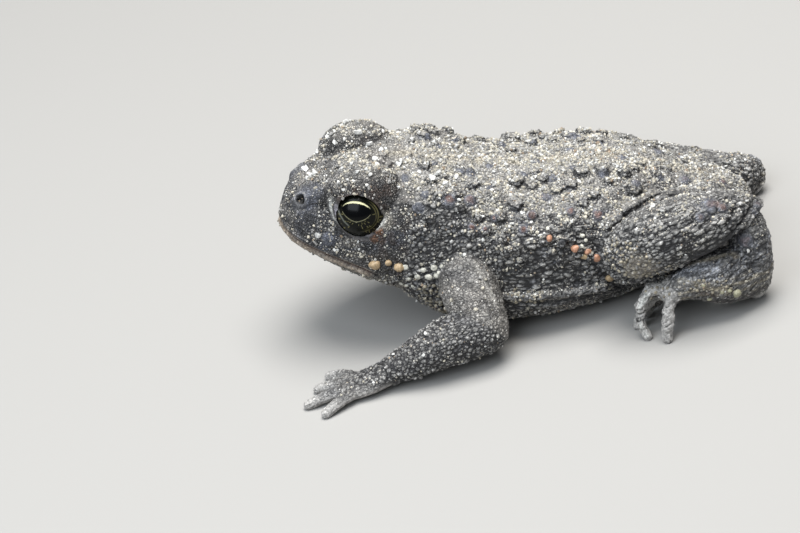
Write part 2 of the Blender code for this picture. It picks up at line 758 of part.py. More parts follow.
def hanging_toes():
    """The left foot's toes, each a tapered tube along its own line."""
    made = []
    for number, line in enumerate(HANGING_TOES):
        last = len(line) - 1
        stations = []
        for i, place in enumerate(line):
            thick = TOE_RADIUS + (TIP_RADIUS - TOE_RADIUS) * i / last
            stations.append((*place, thick, thick))
        made.append(limb(f"hanging_toe_{number}", stations, sides=DIGIT_SIDES, steps=1))
    return made


def build_arm(side, label):
    upper = limb("upper_arm_" + label, UPPER_ARM[label], steps=4)
    lower = limb("forearm_" + label, FOREARM[label], steps=2)
    mitre(upper, lower, FOREARM[label][0], UPPER_ARM[label][-2], FOREARM[label][2])
    combine(upper, [body_loft("body_room", grow=BODY_ROOM)], "DIFFERENCE")
    wrist = Vector(WRIST[label])
    along = (Vector(PALM[label][-1][:3]) - Vector(FOREARM[label][2][:3])).normalized()
    clip(lower, wrist - along * (GAP / 2), along)
    hand = limb("hand_" + label, PALM[label], steps=2)
    heading = math.radians(HAND_HEADING[label])
    fingers = digits("finger", PALM[label][-1], heading, FINGERS, side, FINGER_RADIUS, FINGER_ARCH)
    combine(hand, fingers, "UNION")
    clip(hand, wrist + along * (GAP / 2), -along)
    made = [upper, lower, hand]
    for obj in made:
        clip(obj, (0, 0, 0), FLOOR)
    return made


def build_leg(side, label):
    thigh = limb("thigh_" + label, THIGH[label], steps=3)
    shank = limb("shank_" + label, SHANK[label], steps=3)
    mitre(thigh, shank, SHANK[label][0], THIGH[label][1], SHANK[label][2])
    foot = limb("foot_" + label, TARSUS[label], steps=2)
    heel = ellipsoid("heel", HEEL[label][:3], HEEL[label][3:], 14, 10)
    if side < 0:
        toes = hanging_toes()
    else:
        toes = digits("toe", TARSUS[label][-1], FOOT_HEADING, TOES, side, TOE_RADIUS, TOE_ARCH)
    combine(foot, [heel, *toes], "UNION")
    mitre(shank, foot, ANKLE[label], SHANK[label][2], TARSUS[label][2])
    thigh_room = [(x, y, z, half + BODY_ROOM, height + BODY_ROOM) for x, y, z, half, height in THIGH[label]]
    combine(foot, [limb("thigh_room", thigh_room)], "DIFFERENCE")
    for obj in (thigh, shank):
        combine(obj, [body_loft("body_room", grow=BODY_ROOM)], "DIFFERENCE")
    made = [thigh, shank, foot]
    for obj in made:
        clip(obj, (0, 0, 0), FLOOR)
    return made


def stand_on_floor(pieces):
    """Parents the pieces to an empty that centres the box round the toad on the origin."""
    empty = bpy.data.objects.new("toad", None)
    bpy.data.collections["natterjack_toad"].objects.link(empty)
    for axis in (0, 1):
        places = [v.co[axis] + obj.location[axis] for obj in pieces for v in obj.data.vertices]
        empty.location[axis] = -(min(places) + max(places)) / 2
    for obj in pieces:
        obj.parent = empty
    return empty


def finish(pieces, skin):
    """Gives the pieces their material and smooth shading, and moves them to the toad's collection."""
    for obj in pieces:
        obj.data.materials.clear()
        obj.data.materials.append(skin)
        obj.data.shade_smooth()
        obj.data.set_sharp_from_angle(angle=SHARP_EDGE)
        bpy.data.collections["toad_cutters"].objects.unlink(obj)
        bpy.data.collections["natterjack_toad"].objects.link(obj)


clear_scene()
skin_material = material("toad_skin", SKIN_COLOUR, 0.8)
throat_material = material("toad_throat", THROAT_COLOUR, 0.75)
limb_material = material("toad_limb", LIMB_COLOUR, 0.8)
eye_material = material("toad_eye", EYE_COLOUR, 0.08)

head, jaw, torso = build_body()
eyes = [build_eye(side, label) for side, label in SIDES]
arms = [piece for side, label in SIDES for piece in build_arm(side, label)]
legs = [piece for side, label in SIDES for piece in build_leg(side, label)]
toad = stand_on_floor([head, jaw, torso, *eyes, *arms, *legs])
finish([head, torso], skin_material)
finish([jaw], throat_material)
finish([*arms, *legs], limb_material)
finish(eyes, eye_material)
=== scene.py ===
"""Looks of a life-size natterjack toad that crouches with its forebody raised.

The solids come from the frame, in metres, with +Z up and the snout towards -X. The skin is sculpted in
millimetres from the toad's own zero, which lies CENTRING away from the middle of its box.
"""

import itertools
import math

import bmesh
import bpy
import numpy as np
from mathutils import Matrix, Vector
from mathutils.bvhtree import BVHTree


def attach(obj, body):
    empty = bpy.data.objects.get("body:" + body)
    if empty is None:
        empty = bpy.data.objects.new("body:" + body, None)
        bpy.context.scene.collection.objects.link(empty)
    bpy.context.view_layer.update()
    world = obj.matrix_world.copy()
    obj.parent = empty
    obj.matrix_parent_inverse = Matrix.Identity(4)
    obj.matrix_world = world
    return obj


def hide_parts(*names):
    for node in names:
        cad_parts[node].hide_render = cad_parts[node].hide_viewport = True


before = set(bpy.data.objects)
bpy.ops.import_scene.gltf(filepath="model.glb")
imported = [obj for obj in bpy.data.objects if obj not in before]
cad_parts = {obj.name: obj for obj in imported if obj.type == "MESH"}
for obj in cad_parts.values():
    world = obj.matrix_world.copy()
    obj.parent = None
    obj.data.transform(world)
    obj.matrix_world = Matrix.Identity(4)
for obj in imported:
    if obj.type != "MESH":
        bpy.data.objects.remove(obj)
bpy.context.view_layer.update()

# The toad's skin is one soft sheet over head, trunk and limbs. It is drawn tight over the solids of the
# flesh, so that no joint between them shows, and then sculpted from large folds down to granules.
FLESH = [name for name in sorted(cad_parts) if not name.startswith("eye")]
MM = 0.001
CENTRING = np.array([-4.0011, -2.4958, 0.0])
SWELL = 0.2
SKIN_GRID = 0.14
SMOOTHING_ROUNDS = 18
SMOOTHING_SHARES = (0.5, -0.52)
EDGE_ROUNDS = 14


def flesh_in_one():
    """Points, faces and owner of each face, of all flesh solids grown so that they overlap at the joints."""
    points = []
    faces = []
    owners = []
    for number, name in enumerate(FLESH):
        bm = bmesh.new()
        bm.from_mesh(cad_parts[name].data)
        bmesh.ops.remove_doubles(bm, verts=bm.verts, dist=1e-6)
        bm.normal_update()
        start = len(points)
        points += [v.co + v.normal * (SWELL * MM) for v in bm.verts]
        faces += [tuple(start + v.index for v in face.verts) for face in bm.faces]
        owners += [number] * len(bm.faces)
        bm.free()
    return points, faces, owners


def put_in(name, data):
    """A new object in the scene, for a mesh, a light or a camera."""
    made = bpy.data.objects.new(name, data)
    bpy.context.scene.collection.objects.link(made)
    return made


flesh_points, flesh_faces, flesh_owners = flesh_in_one()
cage = bpy.data.meshes.new("flesh_cage")
cage.from_pydata(flesh_points, [], flesh_faces)
cage_object = put_in("flesh_cage", cage)
drawn = cage_object.modifiers.new("drawn_tight", "REMESH")
drawn.mode = "VOXEL"
drawn.voxel_size = SKIN_GRID * MM
graph = bpy.context.evaluated_depsgraph_get()
sheet = bpy.data.meshes.new_from_object(cage_object.evaluated_get(graph))
bpy.data.objects.remove(cage_object)


def largest_part(total, pairs):
    """Marks the points of the largest connected part of a mesh."""
    label = np.arange(total)
    while True:
        low = np.minimum(label[pairs[:, 0]], label[pairs[:, 1]])
        joined = label.copy()
        np.minimum.at(joined, pairs[:, 0], low)
        np.minimum.at(joined, pairs[:, 1], low)
        for _ in range(4):
            joined = joined[joined]
        if (joined == label).all():
            return label == np.bincount(label).argmax()
        label = joined


def read_numbers(collection, attribute, width, kind):
    """A row of numbers for each of a mesh's points, edges or corners."""
    values = np.empty(len(collection) * width, kind)
    collection.foreach_get(attribute, values)
    return values.reshape(-1, width)


skin_points = read_numbers(sheet.vertices, "co", 3, np.float32).astype(float) * 1000 - CENTRING
skin_quads = read_numbers(sheet.loops, "vertex_index", 1, np.int32).reshape(-1, 4)
skin_pairs = read_numbers(sheet.edges, "vertices", 2, np.int32)
kept = largest_part(len(skin_points), skin_pairs)
renumber = np.cumsum(kept) - 1
skin_points = skin_points[kept]
skin_quads = renumber[skin_quads[kept[skin_quads[:, 0]]]]
skin_pairs = renumber[skin_pairs[kept[skin_pairs[:, 0]]]]
skin_count = len(skin_points)
skin_links = np.bincount(skin_pairs.ravel(), minlength=skin_count)[:, None]


def linked_mean(values):
    """The mean of a value over the points that each point shares an edge with."""
    values = values.reshape(skin_count, -1)
    first, second = skin_pairs.T
    columns = [
        np.bincount(first, column[second], skin_count) + np.bincount(second, column[first], skin_count)
        for column in values.T
    ]
    return np.stack(columns, axis=1) / skin_links


def relaxed(values, rounds, share=0.5):
    """The value smoothed along the skin."""
    shape = values.shape
    values = values.reshape(skin_count, -1)
    for _ in range(rounds):
        values = values + (linked_mean(values) - values) * share
    return values.reshape(shape)


def outward(points):
    """The skin's normals."""
    corners = [points[skin_quads[:, k]] for k in range(4)]
    across = np.cross(corners[2] - corners[0], corners[3] - corners[1])
    normals = np.empty((skin_count, 3))
    for axis in range(3):
        normals[:, axis] = sum(np.bincount(corner, across[:, axis], skin_count) for corner in skin_quads.T)
    return normals / np.maximum(np.linalg.norm(normals, axis=1, keepdims=True), 1e-12)


for _ in range(SMOOTHING_ROUNDS):
    for share in SMOOTHING_SHARES:
        skin_points = relaxed(skin_points, 1, share)
skin_points -= outward(skin_points) * SWELL

# How the head and trunk lie: the level body frame runs s back from the snout, y across and z up
PITCH = math.radians(14.0)
HEAD_ROLL = math.radians(3.0)
ROLL_FADE = (12.0, 26.0)
HIP_S, HIP_X, HIP_Z = 46.1, 20.0, 8.0


def roll_at(s):
    """How far the body rolls: the head does, and the neck takes it up."""
    return HEAD_ROLL * (1 - np.clip((s - ROLL_FADE[0]) / (ROLL_FADE[1] - ROLL_FADE[0]), 0, 1))


def body_point(s, y, z):
    """A place in the level body frame, as a point of the toad."""
    roll = roll_at(s)
    y, z = y * math.cos(roll) - z * math.sin(roll), y * math.sin(roll) + z * math.cos(roll)
    back = s - HIP_S
    x = HIP_X + back * math.cos(PITCH) + z * math.sin(PITCH)
    return np.array([x, y, HIP_Z - back * math.sin(PITCH) + z * math.cos(PITCH)])


def level(points):
    """s, y and z of points in the level body frame."""
    x, z = points[:, 0] - HIP_X, points[:, 2] - HIP_Z
    s = HIP_S + x * math.cos(PITCH) - z * math.sin(PITCH)
    up = x * math.sin(PITCH) + z * math.cos(PITCH)
    roll = roll_at(s)
    y = points[:, 1] * np.cos(roll) + up * np.sin(roll)
    return s, y, up * np.cos(roll) - points[:, 1] * np.sin(roll)


def step(values, low, high):
    """A soft step from 0 at low to 1 at high."""
    t = np.clip((values - low) / (high - low), 0, 1)
    return t * t * (3 - 2 * t)


def bell(values, width):
    """1 at zero, falling away smoothly on both sides."""
    return np.exp(-((values / width) ** 2))


CHANCE_SEED = 1
CHANCE_TABLE = np.random.default_rng(CHANCE_SEED).random(1 << 18)


def hashed(x, y, z, seed):
    """A steady number from 0 to 1 for each cell of a lattice."""
    mixed = x * 73856093 ^ y * 19349663 ^ z * 83492791 ^ seed * 2654435761
    return CHANCE_TABLE[(mixed ^ (mixed >> 15)) & (len(CHANCE_TABLE) - 1)]


def mottle(points, size, seed):
    """Smooth noise from 0 to 1, with patches about as large as the size."""
    places = (points / size).T
    x, y, z = np.floor(places).astype(np.int64)
    part = places - np.floor(places)
    u, v, w = part * part * (3 - 2 * part)
    total = np.zeros(len(points))
    for i, j, k in itertools.product((0, 1), repeat=3):
        weight = (u if i else 1 - u) * (v if j else 1 - v) * (w if k else 1 - w)
        total += weight * hashed(x + i, y + j, z + k, seed)
    return total


def pebbles(points, size, seed):
    """Distances to the nearest two of many scattered points, in sizes, and a number for the nearest."""
    places = (points / size).T
    base = np.floor(places).astype(np.int64)
    nearest = np.full(len(points), 9.0)
    second = np.full(len(points), 9.0)
    number = np.zeros(len(points))
    for offset in itertools.product((-1, 0, 1), repeat=3):
        cell = base + np.array(offset)[:, None]
        distance = np.sqrt(sum((places[k] - cell[k] - hashed(*cell, seed + k)) ** 2 for k in range(3)))
        closer = distance < nearest
        second = np.where(closer, nearest, np.minimum(second, distance))
        nearest = np.where(closer, distance, nearest)
        number = np.where(closer, hashed(*cell, seed + 3), number)
    return nearest, second, number


def stretched(points, axis, longer):
    """Points whose noise is that many times longer along the axis."""
    along = points @ axis
    return points - np.outer(along * (1 - 1 / longer), axis)


def wrinkles(points, axis, short, longer, seed):
    """Rounded ridges along the axis, from 0 in the grooves between them to 1 on top."""
    noise = mottle(stretched(points, axis, longer), short, seed)
    finer = mottle(stretched(points, axis, longer), short * 0.55, seed + 1)
    return 0.65 * np.abs(2 * noise - 1) ** 0.7 + 0.35 * np.abs(2 * finer - 1) ** 0.7


def from_line(points, line):
    """Distance of each point to a line of places, and how far it lies above the nearest place."""
    best = np.full(len(points), 99.0)
    above = np.zeros(len(points))
    for start, end in zip(np.array(line[:-1]), np.array(line[1:])):
        along = end - start
        t = np.clip(((points - start) @ along) / (along @ along), 0, 1)
        apart = points - (start + t[:, None] * along)
        distance = np.linalg.norm(apart, axis=1)
        closer = distance < best
        best = np.where(closer, distance, best)
        above = np.where(closer, apart[:, 2], above)
    return best, above


flesh_tree = BVHTree.FromPolygons(flesh_points, flesh_faces)
skin_owner = np.empty(skin_count, int)
for i, place in enumerate((skin_points + CENTRING) * MM):
    skin_owner[i] = flesh_owners[flesh_tree.find_nearest(place)[2]]


def share_of(*starts):
    """How much each point of the skin belongs to the nodes whose names start so, softened at the edges."""
    wanted = [n for n, name in enumerate(FLESH) if name.startswith(starts)]
    return relaxed(np.isin(skin_owner, wanted).astype(float), EDGE_ROUNDS)


def limb_axis(name):
    """The long direction of a limb's node."""
    places = read_numbers(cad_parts[name].data.vertices, "co", 3, np.float32)
    return np.linalg.svd(places - places.mean(axis=0), full_matrices=False)[2][0]


on_head = share_of("head", "lower_jaw")
on_torso = share_of("torso")
on_arm = share_of("upper_arm")
on_forearm = share_of("forearm", "hand")
on_thigh = share_of("thigh")
on_shank = share_of("shank")
on_foot = share_of("foot")
on_digits = share_of("hand", "foot") * step(1.6 - skin_points[:, 2], -0.6, 0.6)

# The way the skin's lines run: along the trunk and along each limb
BODY_AXIS = np.array([math.cos(PITCH), 0.0, -math.sin(PITCH)])
LINED_LIMBS = ("shank_left", "shank_right", "thigh_left", "thigh_right", "foot_left", "foot_right")
LINE_LENGTH = 2.6
lie_axis = np.tile(BODY_AXIS, (skin_count, 1))
lie_middle = np.zeros((skin_count, 3))
for name in LINED_LIMBS:
    here = skin_owner == FLESH.index(name)
    lie_axis[here] = limb_axis(name)
    lie_middle[here] = skin_points[here].mean(axis=0)
along = np.einsum("ij,ij->i", skin_points - lie_middle, lie_axis)
lie = skin_points - lie_axis * (along * (1 - 1 / LINE_LENGTH))[:, None]

# Eyes in the head: middle of the ball, the way it looks, and the opening between the lids, whose rear droops
EYE_CENTRE = (8.85, 6.0, 1.95)
GAZE = (-0.16, 0.94, 0.26)
OPENING = (2.8, 2.22)
OPENING_LEAN = 0.57
PUPIL_LEAN = 0.1
BALL_RADIUS = 3.38
LID_GAP = 0.03


def eye_axes(side, lean):
    """Along the eye, up across it, and out of it, as rows; the lean says how far the rear end droops."""
    turn = np.array(Matrix.Rotation(PITCH, 3, "Y") @ Matrix.Rotation(HEAD_ROLL, 3, "X"))
    out = turn @ np.array([GAZE[0], side * GAZE[1], GAZE[2]])
    out /= np.linalg.norm(out)
    along = np.cross(turn @ np.array([lean, 0.0, 1.0]), out)
    along /= np.linalg.norm(along)
    return np.stack([along, np.cross(out, along), out])


def eye_middle(side):
    """The middle of the left ball for side -1, and of the right one for side 1."""
    return body_point(EYE_CENTRE[0], side * EYE_CENTRE[1], EYE_CENTRE[2])


by_eye = np.full(skin_count, 9.0)
eye_back = np.zeros(skin_count)
eye_up = np.zeros(skin_count)
for side in (-1, 1):
    leaning = (skin_points - eye_middle(side)) @ eye_axes(side, OPENING_LEAN).T
    local = (skin_points - eye_middle(side)) @ eye_axes(side, PUPIL_LEAN).T
    reach = np.hypot(leaning[:, 0] / OPENING[0], leaning[:, 1] / OPENING[1])
    here = (local[:, 2] > -0.5) & (np.linalg.norm(local, axis=1) < 8)
    by_eye = np.where(here, reach, by_eye)
    eye_back = np.where(here, local[:, 0] * -side, eye_back)
    eye_up = np.where(here, local[:, 1], eye_up)

# Large forms: loose folds along the flank and over the thigh, the creases of the left hind leg, and slow
# unevenness everywhere; a crease is its line, depth, width and how dark the painted shade at its bottom is
FLANK_FOLD = [(-2.5, 11.9, 6.6), (1.0, 12.4, 5.9), (3.8, 12.5, 5.7), (7.4, 12.3, 5.1), (10.9, 11.6, 4.6)]
THIGH_FOLD = [
    (11.4, 11.7, 8.8), (11.7, 11.5, 10.5), (12.4, 10.9, 12.1),
    (14.9, 9.4, 12.95), (18.4, 7.4, 12.7), (21.7, 6.4, 12.5),
]
FOLDS_END = 21.8
UNEVENNESS = 0.22
CREASES = (
    (
        (
            (13.4, -11.6, 12.3), (14.7, -11.0, 12.7), (17.5, -10.0, 13.2),
            (20.4, -8.4, 13.0), (21.6, -7.4, 12.7),
        ),
        0.4, 0.5, 0.9,
    ),
    (((3.0, -12.5, 4.5), (7.4, -12.3, 3.9), (10.9, -11.6, 3.4)), 0.2, 0.35, 0.9),
    (((20.9, -18.3, 10.2), (22.9, -17.9, 10.0), (25.0, -17.6, 10.9), (26.5, -17.2, 11.9)), 0.0, 0.6, 1.0),
    (((26.5, -17.2, 11.9), (28.1, -16.3, 12.75), (29.1, -15.2, 13.25), (29.7, -14.0, 13.3)), 0.4, 0.36, 1.0),
    (((25.8, -17.3, 12.9), (26.7, -16.5, 13.75), (27.5, -15.6, 14.3)), 0.22, 0.26, 0.8),
    (((18.3, -14.9, 15.9), (19.5, -15.5, 16.1), (20.6, -15.0, 16.1)), 0.12, 0.15, 0.8),
    (((16.9, -14.6, 15.5), (17.9, -15.9, 15.7), (19.1, -16.3, 15.8)), 0.12, 0.15, 0.8),
    (((17.0, -16.0, 15.45), (18.0, -16.7, 15.35), (19.1, -17.0, 15.4)), 0.12, 0.15, 0.8),
    (((13.8, -15.3, 13.75), (15.1, -16.2, 14.35), (16.5, -16.9, 14.7)), 0.12, 0.15, 0.7),
    (((13.3, -15.9, 13.1), (14.8, -16.8, 13.6), (16.2, -17.4, 13.9)), 0.12, 0.15, 0.7),
)
normals = outward(skin_points)
rise = UNEVENNESS * (mottle(skin_points, 3.4, 5) - 0.5) * (1 - 0.6 * on_digits) * step(by_eye, 1.2, 2.0)
folds = []
for line, height, width in ((FLANK_FOLD, 0.7, 0.5), (THIGH_FOLD, 0.75, 0.7)):
    folds.append(np.zeros(skin_count))
    for side in (-1, 1):
        apart = from_line(skin_points, [(px, side * py, pz) for px, py, pz in line])[0]
        ridge = bell(apart, width) * step(FOLDS_END - skin_points[:, 0], 0.0, 3.5)
        rise += height * ridge
        folds[-1] = np.maximum(folds[-1], ridge)
flank_fold, thigh_fold = folds
# Painted shade along the bottom of each crease
crease_shade = np.zeros(skin_count)
for line, depth, width, bottom_shade in CREASES:
    apart = from_line(skin_points, line)[0]
    rise -= depth * bell(apart, width)
    crease_shade = np.maximum(crease_shade, bottom_shade * bell(apart, width * 1.15))
skin_points += normals * rise[:, None]

# Warts of the back that the eye picks out, smooth and slate blue: place, radius and how red the tip is
BLUE_WARTS = (
    (-9.2, -1.5, 21.1, 0.66, 0.0), (-6.2, -2.4, 20.7, 0.62, 0.0), (-9.9, -5.3, 21.1, 0.62, 0.0),
    (-3.3, -3.6, 19.4, 0.66, 0.0), (-2.1, -3.8, 19.0, 0.66, 0.0), (0.4, -1.7, 18.3, 0.52, 0.0),
    (4.0, -3.6, 17.3, 0.74, 0.0), (7.3, -4.6, 16.6, 0.76, 0.0), (10.2, -3.0, 16.5, 0.66, 0.0),
    (13.6, -4.9, 15.9, 0.78, 0.0), (11.7, 4.8, 16.1, 0.95, 0.0), (6.6, 3.8, 17.4, 0.6, 0.0),
    (6.0, -0.8, 17.1, 0.68, 0.0), (-0.3, -5.8, 17.9, 0.62, 0.0), (6.1, -7.6, 16.0, 0.74, 0.1),
    (-5.4, -8.7, 18.9, 1.1, 0.7), (-2.9, -8.2, 18.0, 0.84, 0.5), (4.0, -10.0, 15.3, 0.68, 0.7),
    (8.6, -9.7, 14.6, 0.68, 0.8), (11.7, -10.0, 13.6, 0.8, 0.7), (2.6, -10.9, 14.2, 0.62, 0.9),
    (-0.4, -9.6, 15.8, 0.54, 0.9), (-3.3, -10.4, 15.6, 0.5, 1.0), (-1.8, -10.8, 15.2, 0.4, 0.8),
    (10.5, 1.4, 16.5, 0.62, 0.0), (2.7, 3.9, 17.6, 0.75, 0.0), (-6.1, 3.8, 20.9, 0.55, 0.0),
    (-3.0, 3.8, 19.7, 0.55, 0.0), (-5.0, 1.7, 20.4, 0.5, 0.0), (14.3, 2.2, 15.9, 0.55, 0.0),
    (16.4, -0.9, 15.3, 0.62, 0.0), (21.2, 2.7, 13.0, 0.78, 0.1), (23.8, 2.3, 11.8, 0.55, 0.3),
    (23.3, -3.2, 11.8, 0.8, 0.2), (20.3, -4.0, 13.3, 0.55, 0.0), (28.0, -1.8, 9.7, 0.55, 0.6),
    (17.2, -6.4, 14.8, 0.62, 0.1), (-9.1, -9.0, 18.8, 0.75, 0.0), (-8.0, -8.0, 19.8, 0.6, 0.0),
    (24.3, -16.1, 15.4, 1.0, 0.6), (25.8, -16.2, 14.8, 0.7, 0.7), (22.8, -17.3, 14.8, 0.6, 0.3),
    (27.9, -15.9, 9.7, 1.0, 0.5), (30.1, -14.1, 13.0, 0.6, 0.3), (-20.4, -6.8, 15.8, 0.9, 0.0),
)
WART_HEIGHT = 0.4


def far_from(place):
    """Distance of every point of the skin from a place."""
    return np.linalg.norm(skin_points - place, axis=1)


blue = np.zeros(skin_count)
red = np.zeros(skin_count)
rise = np.zeros(skin_count)
normals = outward(skin_points)
for *place, size, redness in BLUE_WARTS:
    apart = far_from(place) / size
    dome = np.clip(1 - apart**2, 0, 1) ** 0.75
    rise = np.maximum(rise, WART_HEIGHT * size * dome)
    ragged = apart + 0.5 * (mottle(skin_points, 0.45, 15) - 0.5)
    blue = np.maximum(blue, step(1.2 - ragged, 0, 0.5))
    red = np.maximum(red, redness * step(0.75 - ragged, 0, 0.5))
skin_points += normals * rise[:, None]

# Middle forms: low round warts between the large ones, and the skin's wrinkles
LOW_WART_SPACING = 2.1
LOW_WART_HEIGHT = 0.22
WRINKLE_WIDTH = 0.62
WRINKLE_STRETCH = 3.6
WRINKLE_HEIGHT = 0.34
normals = outward(skin_points)
clear = step(by_eye, 1.12, 1.4) * (1 - 0.8 * on_digits)
apart, _, number = pebbles(skin_points, LOW_WART_SPACING, 11)
radius = 0.15 + 0.17 * number
low_warts = np.clip(1 - (apart / radius) ** 2, 0, 1) * (number > 0.45)
dorsal = step(normals[:, 2], -0.35, 0.25)
warted = 0.4 * on_head + on_torso + 0.7 * (on_shank + on_thigh)
rise = LOW_WART_HEIGHT * low_warts * clear * dorsal * warted * (1 - blue)
flank = on_torso * step(0.62 - np.abs(normals[:, 2]), -0.1, 0.35)
lined = np.clip(flank + on_shank + on_thigh + 0.7 * on_foot * (1 - on_digits), 0, 1)
swirl = 0.7 * mottle(skin_points, 2.2, 31)[:, None]
lines = np.zeros(skin_count)
weight = np.zeros(skin_count)
for name in (*LINED_LIMBS, "torso"):
    share = relaxed((skin_owner == FLESH.index(name)).astype(float), 8)
    here = share > 0.01
    axis = BODY_AXIS if name == "torso" else limb_axis(name)
    share = share * (lined if name == "torso" else 1.0)
    pleats = wrinkles(skin_points[here] + swirl[here], axis, WRINKLE_WIDTH, WRINKLE_STRETCH, 41)
    lines[here] += share[here] * pleats
    weight += share
creases = (lines - 0.45 * weight) * clear * (1 - blue)
rise += WRINKLE_HEIGHT * creases
skin_points += normals * rise[:, None]

# Small forms: close-set granules, the lids' fine folds, the nostrils and the line of the mouth
MOUTH_LINE = [
    (-1.0, -2.8), (0.4, -3.15), (1.3, -3.4), (2.6, -3.65),
    (5.0, -4.0), (7.4, -4.3), (9.3, -4.65), (10.9, -5.2),
]
MOUTH_DEPTH = 0.2
NOSTRIL = (1.85, 3.45, 1.55)
NOSTRIL_RIM = 0.16
NOSTRIL_DEPTH = 0.7
LID_FOLD = 0.17
LID_RIDGE = 0.05
GRANULE_SPACING = 0.45
normals = outward(skin_points)
s, _, z = level(skin_points)
mouth, above_mouth = from_line(
    np.stack([s, np.zeros(skin_count), z], axis=1), [(ms, 0.0, mz) for ms, mz in MOUTH_LINE]
)
mouth = np.where(on_head > 0.3, mouth, 9.0)
drawn_out = on_shank + on_thigh + flank * step(skin_points[:, 0], -4.0, 0.5)
drawn_out = (0.4 + 0.6 * np.clip(drawn_out, 0, 1))[:, None]
nearest, second, number = pebbles(lie * drawn_out + skin_points * (1 - drawn_out), GRANULE_SPACING, 61)
cobble = step(second - nearest, 0.0, 0.42)
height = 0.08 + 0.07 * np.clip(flank + on_shank + on_thigh + on_forearm, 0, 1)
height = height * step(mouth, 0.7, 1.1) * (1 - 0.45 * on_head)
crowned = 1 - 0.5 * np.clip(nearest, 0, 1) ** 2
rise = height * cobble * (0.6 + 0.8 * number) * crowned * clear * (1 - 0.6 * blue)
lids = step(by_eye, 0.98, 1.02) * (1 - step(by_eye, 1.35, 1.6)) * step(1.0 - eye_up, 0.0, 1.2)
lids *= step(2.2 - eye_back, 0.0, 1.5)
rise += LID_RIDGE * np.cos(2 * math.pi * (by_eye - 1.06) / LID_FOLD) * lids * step(by_eye, 1.04, 1.1)
rise -= MOUTH_DEPTH * bell(mouth, 0.15)
nostril = np.full(skin_count, 9.0)
for side in (-1, 1):
    nostril = np.minimum(nostril, far_from(body_point(NOSTRIL[0], side * NOSTRIL[1], NOSTRIL[2])))
rise += NOSTRIL_RIM * bell(nostril - 0.78, 0.22) - NOSTRIL_DEPTH * (1 - step(nostril, 0.25, 0.68))
skin_points += normals * rise[:, None]
for side in (-1, 1):
    local = skin_points - eye_middle(side)
    distance = np.linalg.norm(local, axis=1, keepdims=True)
    skin_points += local / distance * np.clip(BALL_RADIUS + LID_GAP - distance, 0, 1)
skin_points[:, 2] = np.maximum(skin_points[:, 2], 0.0)

# Colour of the skin: blue-black and slate below a crust of fine pale dust, with the marks of this toad, and
# with painted shade in creases, grooves, hollows, the nostrils, the eye sockets, under the brow and on the
# lower flank, and painted light on wrinkle ridges, a painted sheen on granule tops and a painted highlight on
# one toe.
# A spot is its place, radius, colour and strength, and a stroke its line, width, colour and strength
INK = (0.016, 0.016, 0.018)
SLATE = (0.096, 0.093, 0.091)
BLUE_SLATE = (0.088, 0.095, 0.118)
BLUE_TOP = (0.105, 0.112, 0.135)
ASH = (0.30, 0.295, 0.285)
# Granule tops: their own grey tips with a painted sheen
GRANULE_TIP_AND_SHEEN = (0.37, 0.365, 0.35)
CRUST = (0.42, 0.405, 0.375)
CREAM = (0.56, 0.50, 0.38)
WHITISH = (0.62, 0.63, 0.60)
LIP = (0.37, 0.295, 0.22)
MOUTH_RED = (0.045, 0.022, 0.018)
FOOT_SLATE = (0.32, 0.335, 0.37)
KNEE = (0.30, 0.27, 0.225)
RUST = (0.11, 0.042, 0.012)
UMBER = (0.058, 0.037, 0.027)
TAN_GREY = (0.31, 0.29, 0.265)
TIP_RED = (0.17, 0.085, 0.062)
PALE_TOE = (0.37, 0.36, 0.345)
THROAT = (0.30, 0.28, 0.24)
BELLY = (0.46, 0.42, 0.36)
# Painted shade inside the nostril's pit
NOSTRIL_SHADE = (0.002, 0.002, 0.002)
STRIPE = (11.0, 54.0)
SPOTS = (
    (-14.2, -9.0, 16.75, 0.52, RUST, 1.0), (-14.9, -9.1, 15.9, 0.5, RUST, 0.8),
    (-14.0, -9.2, 15.7, 0.5, UMBER, 0.8), (-13.9, -8.3, 21.4, 0.8, UMBER, 0.6),
    (-12.4, -7.9, 21.3, 0.6, UMBER, 0.5), (15.0, -17.4, 9.8, 1.7, KNEE, 0.6),
    (-20.2, -6.9, 15.9, 0.75, BLUE_SLATE, 0.9), (-20.9, -6.7, 14.9, 0.6, BLUE_SLATE, 0.7),
    (-18.2, -8.0, 15.5, 0.5, TAN_GREY, 0.9), (-17.2, -8.4, 15.5, 0.45, TAN_GREY, 0.8),
    (-21.3, -3.6, 20.6, 1.4, BLUE_SLATE, 0.7), (24.0, -16.3, 15.3, 1.2, BLUE_TOP, 0.4),
    (25.0, -15.9, 15.2, 0.5, TIP_RED, 0.4), (26.5, -16.1, 8.0, 0.5, KNEE, 0.8),
    (26.0, -16.9, 7.4, 0.45, INK, 0.85), (28.3, -16.3, 8.1, 0.6, INK, 0.75),
    (27.6, -15.8, 9.6, 0.9, BLUE_TOP, 0.5), (27.9, -15.9, 9.2, 0.35, TIP_RED, 0.6),
    (29.9, -14.9, 12.5, 0.7, BLUE_TOP, 0.4),
)
